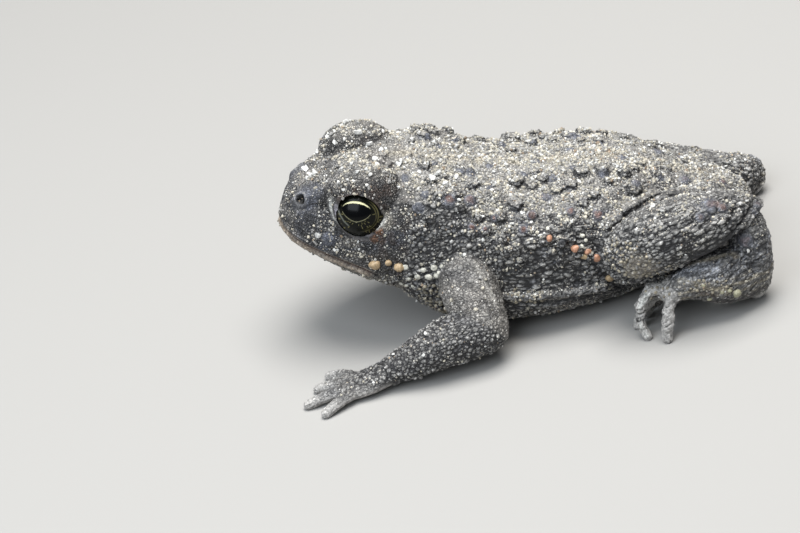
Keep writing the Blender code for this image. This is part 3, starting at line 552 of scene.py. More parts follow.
STROKES = (
    (((-12.4, -8.5, 18.5), (-13.3, -8.8, 17.8), (-14.4, -8.85, 17.0)), 0.2, WHITISH, 0.75),
    (((-3.8, -12.5, 11.7), (-3.4, -13.5, 10.5), (-2.8, -14.6, 9.0), (-2.3, -15.6, 7.3)), 0.34, CRUST, 0.8),
    # A painted highlight along the outer side of the front toe
    (((15.4, -17.2, 5.9), (14.0, -17.8, 4.1), (13.9, -18.3, 2.0), (14.5, -18.6, 0.8)), 0.26, WHITISH, 0.8),
    (((20.0, -17.2, 7.8), (22.0, -17.5, 8.1), (23.6, -17.7, 7.5)), 0.6, FOOT_SLATE, 0.85),
    (((20.3, -17.4, 7.7), (21.2, -17.9, 7.5), (22.6, -17.8, 7.5)), 0.24, INK, 0.9),
    (((22.0, -17.4, 8.1), (23.3, -17.6, 7.7)), 0.18, INK, 0.8),
    (((20.6, -16.7, 8.4), (23.1, -16.8, 8.5), (24.4, -16.5, 8.4), (26.3, -16.0, 8.2)), 0.25, CREAM, 0.6),
    (((19.4, -17.8, 7.1), (21.6, -18.4, 6.4), (23.3, -18.2, 5.2), (24.9, -17.9, 4.4)), 0.34, CREAM, 0.6),
    (((20.3, -18.0, 5.9), (21.6, -18.3, 5.2), (23.2, -18.0, 4.3)), 0.4, UMBER, 0.8),
)
TOES = (
    ((18.8, -16.2, 5.0), (16.6, -15.4, 4.4), (14.7, -15.1, 2.5), (13.9, -15.2, 0.5)),
    ((18.0, -16.6, 5.7), (15.8, -16.6, 5.9), (14.3, -17.0, 4.0), (14.1, -17.5, 1.9), (14.6, -17.9, 0.5)),
    ((19.2, -17.3, 5.5), (18.2, -17.6, 5.3), (17.4, -18.4, 3.5), (17.0, -19.0, 1.8), (16.8, -19.3, 0.5)),
)
TARSUS = (((18.6, -16.4, 5.4), (28.0, -14.0, 4.2)), ((18.0, 19.3, 1.4), (32.4, 11.5, 2.4)))

normals = outward(skin_points)
# How far each point lies below its neighbours, which drives painted shade in hollows and paler crests
hollow = np.einsum("ij,ij->i", linked_mean(skin_points) - skin_points, normals)
hollow = relaxed(hollow, 1)
lift = np.einsum("ij,ij->i", skin_points - relaxed(skin_points, 40), normals)
warty = np.maximum(blue, 0.8 * step(lift, 0.12, 0.26) * (on_torso + on_head + on_thigh + on_shank) * clear)


def toward(colours, target, share):
    """The colours moved towards a target by a share from 0 to 1."""
    return colours + (np.array(target) - colours) * np.clip(share, 0, 1)[:, None]


def without(*parts):
    """What is left of 1 once each part has taken its share of the rest."""
    left = 1.0
    for share, part in parts:
        left = left * (1 - share * part)
    return left


s, y, z = level(skin_points)
up = normals[:, 2]
patches = mottle(skin_points, 2.6, 71)
fine = mottle(skin_points, 0.5, 72)
broad = mottle(skin_points, 5.0, 73)
spotty = mottle(skin_points, 1.0, 76)
low_arm = on_arm * step(11.9 - skin_points[:, 2], 0.0, 3.4)
toes = np.zeros(skin_count)
for line in TOES:
    toes = np.maximum(toes, step(1.25 - from_line(skin_points, line)[0], 0.0, 0.25))
toes = np.clip(toes * on_foot + on_digits, 0, 1)
sole = np.zeros(skin_count)
for line in TARSUS:
    apart, above = from_line(skin_points, line)
    sole = np.where(apart < 6, above, sole)
side_of_foot = on_foot * (1 - toes)
banded = 0.5 + 0.5 * np.cos(2 * math.pi * (sole + 1.1 * mottle(skin_points, 2.4, 77)) / 1.05)
banded = step(banded, 0.3, 0.8) * step(1.7 - sole, 0, 0.8) * step(sole, -1.9, -0.9)
slope = up + 0.22 * (patches - 0.5) - 0.03
crust = on_torso * step(slope, 0.60, 0.97) + on_head * step(slope, 0.45, 1.0) * (0.45 + 0.4 * step(s, 7, 12))
crust += 0.3 * (on_shank + on_thigh) * step(up, 0.3, 0.9)
under = step(-up, 0.15, 0.75) * step(2.5 - z, 0, 4) * (on_torso + on_head)
stripe = bell(y + 0.4, 0.8) * step(s, STRIPE[0], 14) * step(STRIPE[1] - s, 0, 3) * (up > 0.3)
lips = step(np.where(above_mouth > 0, 0.5, 0.95) - mouth, 0, 0.3) * step(10.8 - s, 0, 1.0)
pleated = np.clip(on_shank + on_thigh + on_foot + 0.6 * flank, 0, 1)
pleated *= without((1, crust), (1, toes), (0.8, blue))
cobbled = clear * without((1, crust), (1, toes), (0.5, on_arm), (0.75, on_head), (0.4, on_foot), (0.8, blue))
above_eye = step(eye_up, 0.4, 1.6) * step(1.6 - by_eye, 0, 0.3) * (by_eye < 3)
tint = np.tile(np.array(SLATE), (skin_count, 1))
for colour, share in (
    (BLUE_SLATE, 0.8 * step(patches, 0.45, 0.7)),
    (INK, 0.35 * on_head * step(0.55 - broad, 0.0, 0.3)),
    (TAN_GREY, 0.95 * low_arm + 0.3 * on_arm),
    (ASH, 0.3 * on_forearm + 0.75 * on_shank + 0.85 * on_foot + 0.6 * on_thigh),
    (CRUST, 0.25 * on_arm),
    (INK, on_head * (0.25 + 0.5 * step(0.5 - spotty, 0.0, 0.2))),
    (TAN_GREY, 0.55 * on_head * step(spotty, 0.55, 0.75) * step(9.0 - s, -3, 4)),
    (INK, 0.5 * on_arm * step(0.5 - spotty, 0.0, 0.25)),
    (UMBER, 0.5 * on_head * step(s, 8, 12) * step(mottle(skin_points, 0.8, 82), 0.5, 0.7)),
    # Painted shade: the flank is darker where it turns to face down
    (INK, 0.35 * flank * step(-up, -0.3, 0.3)),
    (FOOT_SLATE, 0.9 * side_of_foot * step(sole, 0.5, 1.4)),
    (INK, 0.7 * side_of_foot * step(sole, 0.9, 1.6) * step(mottle(lie, 0.7, 78), 0.58, 0.68)),
    (CREAM, 0.9 * side_of_foot * banded),
    (UMBER, 0.6 * side_of_foot * step(-1.0 - sole, 0.0, 1.0)),
    (CRUST, 0.8 * crust * (0.6 + 0.6 * fine)),
    (BLUE_SLATE, 0.85 * warty),
    (TIP_RED, 0.85 * red),
    (BELLY, 0.8 * under * step(mottle(skin_points, 2.2, 74), 0.25, 0.5)),
    (THROAT, 0.6 * on_head * step(-4.8 - z, 0, 1.5)),
    (CREAM, 0.6 * stripe * (0.4 + fine) * (1 - blue)),
    (LIP, 0.9 * lips * (0.5 + 0.5 * fine)),
    (PALE_TOE, 0.85 * toes),
    (ASH, 0.5 * flank_fold * step(fine, 0.25, 0.7)),
    (INK, 0.45 * thigh_fold * step(0.8 - fine, 0.0, 0.3)),
    # Painted light on the wrinkles' ridges and painted shade in their grooves
    (ASH, 0.75 * pleated * step(creases, 0.06, 0.26)),
    (INK, 0.8 * pleated * step(-creases, 0.08, 0.22)),
    # Granule tops are paler, partly from their own grey tips and partly from a painted sheen; painted shade
    # in the grooves between granules
    (GRANULE_TIP_AND_SHEEN, 0.85 * cobbled * step(cobble * (0.5 + number), 0.6, 1.3)),
    (INK, cobbled * step(0.36 - (second - nearest), 0.0, 0.24)),
    # Paler on crests, and painted shade in hollows
    (ASH, 0.5 * step(-hollow, 0.006, 0.03) * (1 - crust)),
    (INK, 0.85 * step(hollow, 0.004, 0.03) * (1 - 0.6 * crust)),
    (BLUE_TOP, 0.4 * blue * (1 - red)),
    (TIP_RED, 0.45 * red),
    # Painted shade at the bottom of the creases
    (INK, 0.95 * crease_shade),
    (MOUTH_RED, 0.95 * bell(mouth, 0.17) * step(10.9 - s, 0, 0.5)),
    # Painted shadow under the brow, above the eye, with umber mottling on it
    (INK, 0.6 * above_eye),
    (UMBER, 0.6 * above_eye * step(mottle(skin_points, 0.7, 79), 0.45, 0.7)),
    # Painted shade in the socket, where the skin turns in against the eye ball
    (INK, 0.9 * step(1.0 - by_eye, 0.0, 0.04)),
):
    tint = toward(tint, colour, share)
rusty = np.zeros(skin_count)
for *place, size, colour, share in SPOTS:
    apart = far_from(place) * (0.75 + 0.5 * fine)
    spot = share * step(1.5 * size - apart, 0.0, 0.7 * size)
    tint = toward(tint, colour, spot)
    if colour in (RUST, UMBER):
        rusty = np.maximum(rusty, spot)
for line, width, colour, share in STROKES:
    tint = toward(tint, colour, share * bell(from_line(skin_points, line)[0] * (0.8 + 0.4 * fine), width))
crescent = bell(by_eye - 1.36, 0.11) * step(-eye_back, 1.9, 2.5) * step(eye_up, -2.4, -1.6)
crescent *= step(1.5 - eye_up, 0, 0.8)
rear_lid = bell(by_eye - 1.28, 0.2) * step(eye_back, 1.8, 2.5) * step(eye_up, -1.7, -0.9)
rear_lid *= step(1.3 - eye_up, 0, 0.6)
for colour, share in (
    (BLUE_SLATE, 0.7 * bell(nostril, 1.9)),
    (ASH, 0.3 * bell(nostril - 0.8, 0.14)),
    # Painted shade inside the nostril's pit
    (NOSTRIL_SHADE, 1.2 * (1 - step(nostril, 0.5, 0.74))),
    (WHITISH, 0.95 * crescent),
    (THROAT, 0.9 * rear_lid),
):
    tint = toward(tint, colour, share)

# Where dust lies and grains cling, and how strongly the finish shows its granules
dust = on_torso * (0.16 + 0.84 * step(slope, 0.45, 0.96))
dust += on_head * (0.13 + 0.6 * step(slope, 0.35, 0.98) * (0.25 + 0.75 * step(s, 4, 11)))
dust += 0.1 + 0.25 * (on_shank + on_thigh) * step(up, 0.0, 0.9)
clustered = step(mottle(skin_points, 1.3, 81), 0.3, 0.75)
dust *= np.where(on_head > 0.5, 0.2 + 1.5 * clustered, 0.35 + 1.15 * clustered)
dust *= without((0.7, warty), (0.7, red), (1, lids), (0.5, flank), (0.9, bell(nostril, 1.9)))
dust *= without((0.8, toes), (0.6, thigh_fold), (0.75, rusty), (0.95, crease_shade))
dust *= step(by_eye, 1.02, 1.12) * step(mouth, 0.5, 0.9)
dust = np.where(above_eye > 0.2, np.maximum(dust, 0.22 * step(by_eye, 1.02, 1.12)), dust)
grain = without((0.4, blue), (0.6, lips), (0.7, bell(nostril, 1.3)), (0.2, on_arm), (0.7, toes))
grain *= without((0.3, crust), (0.6, lids), (0.45, cobbled)) * (0.35 + 0.65 * step(by_eye, 1.05, 1.3))
grain = np.clip(grain, 0, 1)


def mesh_of(name, points, faces, smooth=True):
    """A mesh of points in the skin's millimetres."""
    mesh = bpy.data.meshes.new(name)
    mesh.from_pydata((points + CENTRING) * MM, [], faces)
    if smooth:
        mesh.shade_smooth()
    return mesh


def paint(mesh, name, values, kind="FLOAT"):
    """Stores one value, place or colour for each point of the mesh."""
    layer = mesh.attributes.new(name, kind, "POINT")
    if kind == "FLOAT_COLOR":
        values = np.concatenate([values, np.ones((len(values), 1))], axis=1)
    field = {"FLOAT": "value", "FLOAT_VECTOR": "vector", "FLOAT_COLOR": "color"}[kind]
    layer.data.foreach_set(field, values.astype(np.float32).ravel())


skin_mesh = mesh_of("toad_skin", skin_points, skin_quads)
paint(skin_mesh, "tint", np.clip(tint, 0, 1), "FLOAT_COLOR")
paint(skin_mesh, "dust", np.clip(dust, 0, 1))
paint(skin_mesh, "grain", grain)
paint(skin_mesh, "lined", np.clip(1.6 * lined - 0.5, 0, 1))
paint(skin_mesh, "by_eye", np.clip(by_eye, 0, 3))
paint(skin_mesh, "lids", lids * (1 - crescent))
paint(skin_mesh, "lie", lie, "FLOAT_VECTOR")
skin = put_in("toad_skin", skin_mesh)


def finish_of(name):
    """A new material, a function that adds a node to it, and one that fills its shader's sockets."""
    made = bpy.data.materials.new(name)
    made.use_nodes = True
    tree = made.node_tree
    shader = tree.nodes["Principled BSDF"]

    def fill(socket, value):
        if isinstance(value, bpy.types.NodeSocket):
            tree.links.new(value, socket)
        else:
            socket.default_value = value

    def add(kind, settings=(), **inputs):
        node = tree.nodes.new("ShaderNode" + kind)
        for key, value in dict(settings).items():
            setattr(node, key, value)
        for key, value in inputs.items():
            fill(node.inputs[int(key[1:]) if key[1:].isdigit() else key], value)
        return node

    def shade(sockets):
        for key, value in sockets.items():
            fill(shader.inputs[key], value)

    return made, add, shade


def stored(add, name, output="Fac"):
    """What the mesh holds under a name."""
    return add("Attribute", {"attribute_name": name}).outputs[output]


def ramp(add, source, stops):
    """A colour for each value, between stops of a position and a colour."""
    node = add("ValToRGB", i0=source)
    while len(node.color_ramp.elements) < len(stops):
        node.color_ramp.elements.new(0.5)
    for element, (position, colour) in zip(node.color_ramp.elements, stops):
        element.position = position
        element.color = (*colour, 1.0)
    return node.outputs[0]


def blended(add, share, first, second):
    """From the first colour to the second by a share."""
    return add("Mix", {"data_type": "RGBA"}, i0=share, i6=first, i7=second).outputs[2]


def multiplied(add, first, second):
    """The first colour times the second."""
    return add("Mix", {"data_type": "RGBA", "blend_type": "MULTIPLY"}, i0=1.0, i6=first, i7=second).outputs[2]


def ranged(add, value, low, high, first, last, kind="LINEAR"):
    """A value from low to high, stretched to run from first to last."""
    settings = {"interpolation_type": kind}
    return add("MapRange", settings, i0=value, i1=low, i2=high, i3=first, i4=last).outputs[0]


def counted(add, how, first, second, third=0.0):
    """A sum, a product or another count of two or three numbers."""
    return add("Math", {"operation": how}, i0=first, i1=second, i2=third).outputs[0]


# The skin's finish: packed granules with painted shade in the grooves between them, round on the forebody and
# drawn out into lines on flank and legs, each a little lighter or darker than the next, under crumbs of pale
# dust
GRANULE_SCALE = 2900.0
LINE_SCALE = 2.5
WAVER = 0.35
# Painted shade in the grooves between granules
GROOVE_SHADE = (0.10, 0.10, 0.11, 1.0)
LIGHTNESS = ((0.0, 0.26), (0.45, 0.40), (0.8, 0.58), (1.0, 0.80))
CRUMB_LAYERS = ((2900.0, 0.85, 0.42), (5400.0, 0.75, 0.44))  # scale, largest share, how far a crumb reaches
CRUMB_EDGE = 0.14
CRUMB_COLOURS = (
    (0.0, (0.16, 0.158, 0.155)),
    (0.35, (0.28, 0.27, 0.25)),
    (0.65, (0.40, 0.38, 0.33)),
    (0.85, (0.52, 0.50, 0.45)),
    (0.94, (0.36, 0.27, 0.18)),
    (1.0, (0.68, 0.68, 0.65)),
)
LID_RINGS = (
    (0.02, (0.010, 0.010, 0.010)),
    (0.10, (0.24, 0.235, 0.26)),
    (0.34, (0.26, 0.25, 0.28)),
    (0.44, (0.022, 0.022, 0.026)),
    (0.62, (0.05, 0.048, 0.05)),
    (0.80, (0.13, 0.12, 0.12)),
    (0.95, (0.06, 0.056, 0.056)),
)
RELIEF = 0.13
skin_finish, add, shade = finish_of("granular_toad_skin")
place = add("TexCoord").outputs["Object"]
tint_read = stored(add, "tint", "Color")
dust_read = stored(add, "dust")
grain_read = stored(add, "grain")
lined_read = stored(add, "lined")
cloud = add("TexNoise", Vector=place, Scale=2600.0, Detail=5.0, Roughness=0.65).outputs["Fac"]
waver = add("TexNoise", Vector=place, Scale=3200.0, Detail=2.0).outputs["Color"]
waver = add("VectorMath", {"operation": "SUBTRACT"}, i0=waver, i1=(0.5, 0.5, 0.5)).outputs[0]
edges = []
names = []
for source, reach, scale in (
    (place, WAVER * MM, GRANULE_SCALE),
    (stored(add, "lie", "Vector"), WAVER, LINE_SCALE),
):
    # Shifted a little by noise, so that the cells aren't straight-sided
    source = add("VectorMath", {"operation": "MULTIPLY_ADD"}, i0=waver, i1=(reach,) * 3, i2=source).outputs[0]
    cells = add("TexVoronoi", {"feature": "DISTANCE_TO_EDGE"}, Vector=source, Scale=scale)
    edges.append(cells.outputs["Distance"])
    cells = add("TexVoronoi", {"feature": "F1"}, Vector=source, Scale=scale)
    names.append(add("SeparateColor", i0=cells.outputs["Color"]).outputs[0])
edge = add("Mix", i0=lined_read, i2=edges[0], i3=edges[1]).outputs[0]
cell_name = add("Mix", i0=lined_read, i2=names[0], i3=names[1]).outputs[0]
top = ranged(add, edge, 0.02, 0.20, 0.0, 1.0, "SMOOTHSTEP")
light = counted(add, "MULTIPLY", ramp(add, cell_name, [(at, (grey,) * 3) for at, grey in LIGHTNESS]), 2.2)
speckle = ranged(add, cloud, 0.32, 0.68, 0.25, 1.9)
granule = multiplied(add, tint_read, counted(add, "MULTIPLY", light, speckle))
# Painted shade in the grooves between the granules
granule = blended(add, top, multiplied(add, tint_read, GROOVE_SHADE), granule)
plain = multiplied(add, tint_read, ranged(add, cloud, 0.32, 0.68, 0.4, 1.7))
colour = blended(add, grain_read, plain, granule)
for scale, most, edge_at in CRUMB_LAYERS:
    cells = add("TexVoronoi", {"feature": "F1"}, Vector=place, Scale=scale)
    parts = add("SeparateColor", i0=cells.outputs["Color"])
    chosen = counted(add, "LESS_THAN", parts.outputs[0], counted(add, "MULTIPLY", dust_read, most))
    body = ranged(add, cells.outputs["Distance"], edge_at - CRUMB_EDGE, edge_at, 1.0, 0.0)
    crumb = ramp(add, parts.outputs[1], CRUMB_COLOURS)
    colour = blended(add, counted(add, "MULTIPLY", chosen, body), colour, crumb)
ring_at = ranged(add, counted(add, "MULTIPLY_ADD", cloud, 0.03, stored(add, "by_eye")), 1.0, 1.5, 0.0, 1.0)
rings = multiplied(add, ramp(add, ring_at, LID_RINGS), counted(add, "MULTIPLY", speckle, 0.95))
colour = blended(add, stored(add, "lids"), colour, rings)
shape = counted(add, "MULTIPLY", ranged(add, edge, 0.0, 0.35, 0.0, 1.0, "SMOOTHSTEP"), grain_read)
relief = counted(add, "MULTIPLY_ADD", cloud, 0.55, shape)
bumps = add("Bump", Strength=1.0, Distance=RELIEF * MM, Height=relief).outputs[0]
shade(
    {
        "Base Color": colour,
        "Roughness": ranged(add, cloud, 0.3, 0.7, 0.34, 0.66),
        "Normal": bumps,
        "Specular IOR Level": 0.45,
    }
)
skin_mesh.materials.append(skin_finish)
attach(skin, "root")
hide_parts(*FLESH)

# Eyes: wet dark balls that sit in the skin's two sockets, with a faintly flecked iris, and a lying oval
# pupil in a bright thread that is thick above it and fine below
IRIS = (0.0035, 0.004, 0.003)
FLECK = (0.20, 0.18, 0.08)
THREAD = (0.62, 0.60, 0.37)
PUPIL = (0.0010, 0.0012, 0.0016)
# The lower lid's wet edge, drawn on the ball as a thin painted highlight
LID_EDGE_SHINE = (0.15, 0.16, 0.14)
LID_EDGE = ((-3.0, 0.9, 0.0), (-2.75, 0.1, 0.0), (-2.3, -0.55, 0.0), (-1.7, -1.15, 0.0), (-1.1, -1.5, 0.0))
PUPIL_MIDDLE = (-0.48, 0.40)
PUPIL_TILT = math.radians(6.8)
PUPIL_HALF_LENGTH = 1.76
PUPIL_ABOVE = 1.02
PUPIL_BELOW = 1.10
THREAD_THICKNESS = 0.23
EYE_RINGS = 120
EYE_SECTORS = 180

eye_finish, add, shade = finish_of("wet_dark_eye")
shade(
    {
        "Base Color": stored(add, "iris", "Color"),
        "Roughness": 0.35,
        "Specular IOR Level": 0.02,
        "Coat Weight": 0.4,
        "Coat Roughness": 0.16,
        "Coat IOR": 1.34,
    }
)


def iris_colours(back, up):
    """Colours of the ball at places back and up across the opening, in millimetres from its middle."""
    a, b = back - PUPIL_MIDDLE[0], up - PUPIL_MIDDLE[1]
    across = (a * math.cos(PUPIL_TILT) + b * math.sin(PUPIL_TILT)) / PUPIL_HALF_LENGTH
    height = b * math.cos(PUPIL_TILT) - a * math.sin(PUPIL_TILT)
    inside = np.clip(1 - np.abs(across) ** 2.2, 0, 1)
    top = PUPIL_ABOVE * np.sqrt(inside)
    bottom = -PUPIL_BELOW * np.clip(1 - np.abs(across) ** 1.7, 0, 1) ** 0.75
    flat = np.stack([back, up, np.zeros_like(back)], axis=1)
    colours = np.tile(np.array(IRIS), (len(back), 1))
    away = np.hypot(back + 0.1, up * 1.12)
    rays = np.stack([np.arctan2(up, back) * 2.2, 0.45 * away, np.zeros_like(back)], axis=1)
    apart, _, number = pebbles(rays, 0.2, 91)
    low = step(0.3 - height, -0.6, 1.2)
    colours = toward(colours, FLECK, 0.7 * (number > 0.66) * step(0.5 - apart, 0, 0.2) * low)
    streak = mottle(flat, 0.5, 93)
    lid_edge, _ = from_line(flat, LID_EDGE)
    # A painted highlight of the lower lid's wet edge, drawn on the ball
    colours = toward(colours, LID_EDGE_SHINE, 0.9 * bell(lid_edge, 0.09))
    ring = np.maximum(bell(away - 2.3, 0.05), 0.6 * bell(away - 2.05, 0.04)) * step(back, 0.4, 1.6)
    colours = toward(colours, FLECK, 0.7 * ring * (0.5 + streak))
    thick = THREAD_THICKNESS * np.clip(1.08 - 0.85 * np.abs(across + 0.02) ** 1.6, 0.22, 1)
    above = height - top
    near = np.abs(across) < 0.97
    upper = near * (height > 0.12) * step(above, -0.05, 0.01) * (1 - step(above, thick - 0.05, thick + 0.02))
    colours = toward(colours, THREAD, upper)
    below = bottom - height
    nick = 0.09 * bell(across - 0.06, 0.05)
    lower = near * (height <= -0.2) * step(below, -0.02, 0.03) * (1 - step(below, 0.07 + nick, 0.11 + nick))
    colours = toward(colours, THREAD, 0.32 * lower)
    pupil = (np.abs(across) < 1) * (above < 0) * (below < 0)
    colours = toward(colours, PUPIL, pupil.astype(float))
    return toward(colours, PUPIL, step(np.hypot(back, up), 2.6, 3.0))


turns = np.linspace(0, 2 * math.pi, EYE_SECTORS, endpoint=False)
tilts = np.linspace(0, 1, EYE_RINGS + 1)[1:] ** 1.25 * math.pi * 0.96
grid_tilt, grid_turn = np.meshgrid(tilts, turns, indexing="ij")
places = np.stack(
    [np.sin(grid_tilt) * np.cos(grid_turn), np.sin(grid_tilt) * np.sin(grid_turn), np.cos(grid_tilt)], axis=-1
).reshape(-1, 3)
places = np.concatenate([places, [[0, 0, 1.0], [0, 0, -1.0]]]) * BALL_RADIUS
row = np.arange(EYE_SECTORS)
following = (row + 1) % EYE_SECTORS
last = (EYE_RINGS - 1) * EYE_SECTORS
faces = []
for ring in range(0, last, EYE_SECTORS):
    next_ring = ring + EYE_SECTORS
    faces += np.stack([ring + row, next_ring + row, next_ring + following, ring + following], axis=1).tolist()
faces += np.stack([np.full(EYE_SECTORS, len(places) - 2), row, following], axis=1).tolist()
faces += np.stack([last + following, last + row, np.full(EYE_SECTORS, len(places) - 1)], axis=1).tolist()
for side, label in ((-1, "left"), (1, "right")):
    ball_mesh = mesh_of("eye_ball_" + label, places @ eye_axes(side, PUPIL_LEAN) + eye_middle(side), faces)
    iris = iris_colours(places[:, 0] * -side, places[:, 1]) * (places[:, 2:] > 0)
    paint(ball_mesh, "iris", iris, "FLOAT_COLOR")
    ball_mesh.materials.append(eye_finish)
    ball = put_in("eye_ball_" + label, ball_mesh)
    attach(ball, "root")
    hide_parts("eye_" + label)

# Pale beads: round glands that stand in the skin, tan at the corner of the mouth, whitish below it, orange
# on the flank, and close-set cream ones on chest, knee and sole. A single bead is its place, radius and
# colour, and a field the two ends of its line, its reach, count, radius and spacing
TAN = (0.36, 0.265, 0.155)
WHITE = (0.50, 0.49, 0.43)
ORANGE = (0.44, 0.23, 0.145)
OLIVE = (0.30, 0.29, 0.20)
SINGLE_BEADS = (
    (-15.5, -9.45, 12.55, 0.60, TAN), (-13.9, -9.8, 12.8, 0.40, TAN), (-12.7, -10.1, 12.0, 0.54, TAN),
    (-12.0, -10.2, 11.8, 0.36, WHITE), (-10.8, -10.45, 10.5, 0.36, WHITE),
    (-11.8, -10.2, 10.1, 0.29, WHITE), (-9.9, -10.6, 11.2, 0.34, WHITE),
    (-9.5, -10.7, 10.3, 0.42, WHITE), (-8.6, -10.8, 11.4, 0.36, WHITE),
    (-8.5, -10.9, 10.3, 0.38, WHITE), (-12.9, -9.6, 9.3, 0.22, WHITE),
    (-12.2, -9.8, 9.1, 0.22, WHITE), (-11.5, -10.0, 8.9, 0.22, WHITE),
    (-7.6, -11.0, 11.2, 0.26, WHITE), (-7.4, -11.0, 10.2, 0.24, WHITE),
    (5.4, -12.1, 12.9, 0.46, ORANGE), (8.2, -12.3, 10.9, 0.50, ORANGE),
    (9.7, -11.9, 10.0, 0.46, ORANGE), (9.1, -12.0, 9.4, 0.42, TAN),
    (10.6, -11.8, 8.9, 0.50, ORANGE), (11.7, -11.6, 5.5, 0.46, TAN),
    (9.4, -11.6, 12.0, 0.26, WHITE), (9.7, -11.8, 11.4, 0.26, WHITE),
    (9.1, -11.9, 10.9, 0.26, WHITE), (5.4, -11.1, 13.7, 0.22, WHITE),
    (7.1, -10.2, 14.4, 0.22, WHITE), (25.9, -17.6, 3.8, 0.5, OLIVE), (24.1, -18.0, 4.5, 0.27, OLIVE),
    (25.1, -17.8, 4.4, 0.24, OLIVE), (22.6, -17.6, 3.7, 0.3, OLIVE), (21.9, -18.4, 6.1, 0.2, OLIVE),
)
BEAD_FIELDS = (
    ((13.1, -16.5, 11.2), (16.6, -18.0, 9.4), 2.2, 64, 0.18, 2.5),
    ((-9.6, -10.2, 7.6), (-8.8, -9.9, 5.0), 1.8, 46, 0.22, 2.3),
    ((20.0, -18.4, 6.6), (24.6, -18.0, 5.2), 0.9, 22, 0.19, 2.6),
    ((0.0, -12.3, 6.2), (3.0, -12.4, 5.6), 0.9, 20, 0.19, 2.6),
    ((14.7, -17.0, 6.2), (17.6, -17.6, 5.6), 0.8, 9, 0.2, 2.6),
)
BEAD_SEED = 8
BEAD_TRIES = 4000
BEAD_SHAPE = (1.0, 0.9, 0.68)
BEAD_RAISED = 0.12
draw = np.random.default_rng(BEAD_SEED)
beads = [(np.array(place), size, colour) for *place, size, colour in SINGLE_BEADS]
for start, end, reach, count, size, spacing in BEAD_FIELDS:
    for side in (-1, 1):
        line = [(start[0], start[1] * -side, start[2]), (end[0], end[1] * -side, end[2])]
        near = np.flatnonzero(from_line(skin_points, line)[0] < reach)
        if len(near) == 0:
            continue
        placed = skin_points[draw.choice(near, 1)]
        for place in skin_points[draw.permutation(near)[:BEAD_TRIES]]:
            if len(placed) == count:
                break
            if np.linalg.norm(placed - place, axis=1).min() > spacing * size:
                placed = np.concatenate([placed, [place]])
        for place in placed:
            darker = 0.25 + 0.4 * draw.random()
            beads.append((place, size * (0.6 + 0.6 * draw.random()), tuple(c * darker for c in CREAM)))


def round_form(subdivisions):
    """Points and triangles of a ball of radius 1."""
    bm = bmesh.new()
    bmesh.ops.create_icosphere(bm, subdivisions=subdivisions, radius=1.0)
    points = np.array([v.co for v in bm.verts])
    triangles = np.array([[v.index for v in face.verts] for face in bm.faces])
    bm.free()
    return points, triangles


round_points, round_faces = round_form(3)
bead_points = []
bead_faces = []
bead_tints = []
for number, (place, size, colour) in enumerate(beads):
    nearest = far_from(place).argmin()
    out = normals[nearest]
    aside = np.cross(out, BODY_AXIS)
    aside /= np.linalg.norm(aside)
    axes = np.stack([np.cross(aside, out), aside, out])
    shape = round_points * (1 + 0.35 * draw.random(3) ** 2) * BEAD_SHAPE * size
    shape = shape * (1 + 0.09 * np.sin(round_points @ draw.normal(size=3) * 4 + draw.random() * 6)[:, None])
    bead_points.append(shape @ axes + (skin_points[nearest] + out * (BEAD_RAISED * size)))
    bead_faces.append(round_faces + number * len(round_points))
    bead_tints.append(np.tile(np.array(colour), (len(round_points), 1)))
bead_points = np.concatenate(bead_points)
bead_points[:, 2] = np.maximum(bead_points[:, 2], 0.0)
bead_mesh = mesh_of("pale_beads", bead_points, np.concatenate(bead_faces))
paint(bead_mesh, "tint", np.concatenate(bead_tints), "FLOAT_COLOR")
bead_finish, add, shade = finish_of("pale_gland_skin")
cloud = add("TexNoise", Vector=add("TexCoord").outputs["Object"], Scale=4000.0, Detail=3.0).outputs["Fac"]
shade(
    {
        "Base Color": multiplied(add, stored(add, "tint", "Color"), ranged(add, cloud, 0.3, 0.7, 0.6, 1.3)),
        "Roughness": ranged(add, cloud, 0.3, 0.7, 0.3, 0.6),
        "Normal": add("Bump", Strength=0.4, Distance=0.03 * MM, Height=cloud).outputs[0],
    }
)
bead_mesh.materials.append(bead_finish)
bead_object = put_in("pale_beads", bead_mesh)
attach(bead_object, "root")

# Grains that cling to the skin: angular sand and dried soil, glassy, pale, grey and ochre, from dust to most
# of a millimetre across, thickest along the back, each pressed about a third of its height into the skin.
# A kind is its count, colour and roughness, and a large grain its place and radius
GRAIN_SEED = 4
GRAIN_RADIUS = (0.055, 0.23)
GRAIN_RAISED = 0.3
GRAINS = {
    "clear_grains": (3800, (0.62, 0.62, 0.60), 0.25),
    "pale_grains": (9500, (0.45, 0.42, 0.35), 0.55),
    "grey_grains": (9500, (0.25, 0.245, 0.235), 0.5),
    "ochre_grains": (600, (0.27, 0.205, 0.145), 0.6),
}
LARGE_GRAINS = (
    (-21.6, 1.6, 21.4, 0.42), (-21.4, 1.0, 21.5, 0.36), (-20.4, -0.8, 21.7, 0.40), (-21.3, -1.2, 21.4, 0.36),
    (-20.9, -1.0, 21.6, 0.30), (-15.5, 5.1, 24.3, 0.38), (-14.3, 3.0, 23.8, 0.42), (-17.3, 2.8, 23.2, 0.38),
    (-16.0, 2.6, 23.5, 0.26), (-13.4, 2.0, 22.6, 0.42), (-18.1, 4.2, 23.4, 0.30), (-12.1, 0.2, 22.4, 0.32),
    (-12.8, -1.6, 22.3, 0.36), (-10.4, -3.1, 21.8, 0.40), (-9.9, -2.6, 21.8, 0.34), (-4.0, -5.0, 19.5, 0.36),
    (-6.7, -5.9, 20.8, 0.40), (-5.9, -4.9, 20.5, 0.42), (-5.4, -6.6, 19.8, 0.38), (-8.0, -4.4, 20.9, 0.34),
    (-21.5, -6.1, 16.2, 0.34), (-15.3, -6.3, 23.7, 0.28), (-15.8, -4.5, 23.8, 0.24), (-13.9, -6.9, 23.2, 0.3),
)
UNWRAP_MIDDLE = 8.0
UNWRAP_LOW = np.array([-34.0, -math.pi])
UNWRAP_HIGH = np.array([34.0, math.pi])
TUFT_PATCH = 0.003

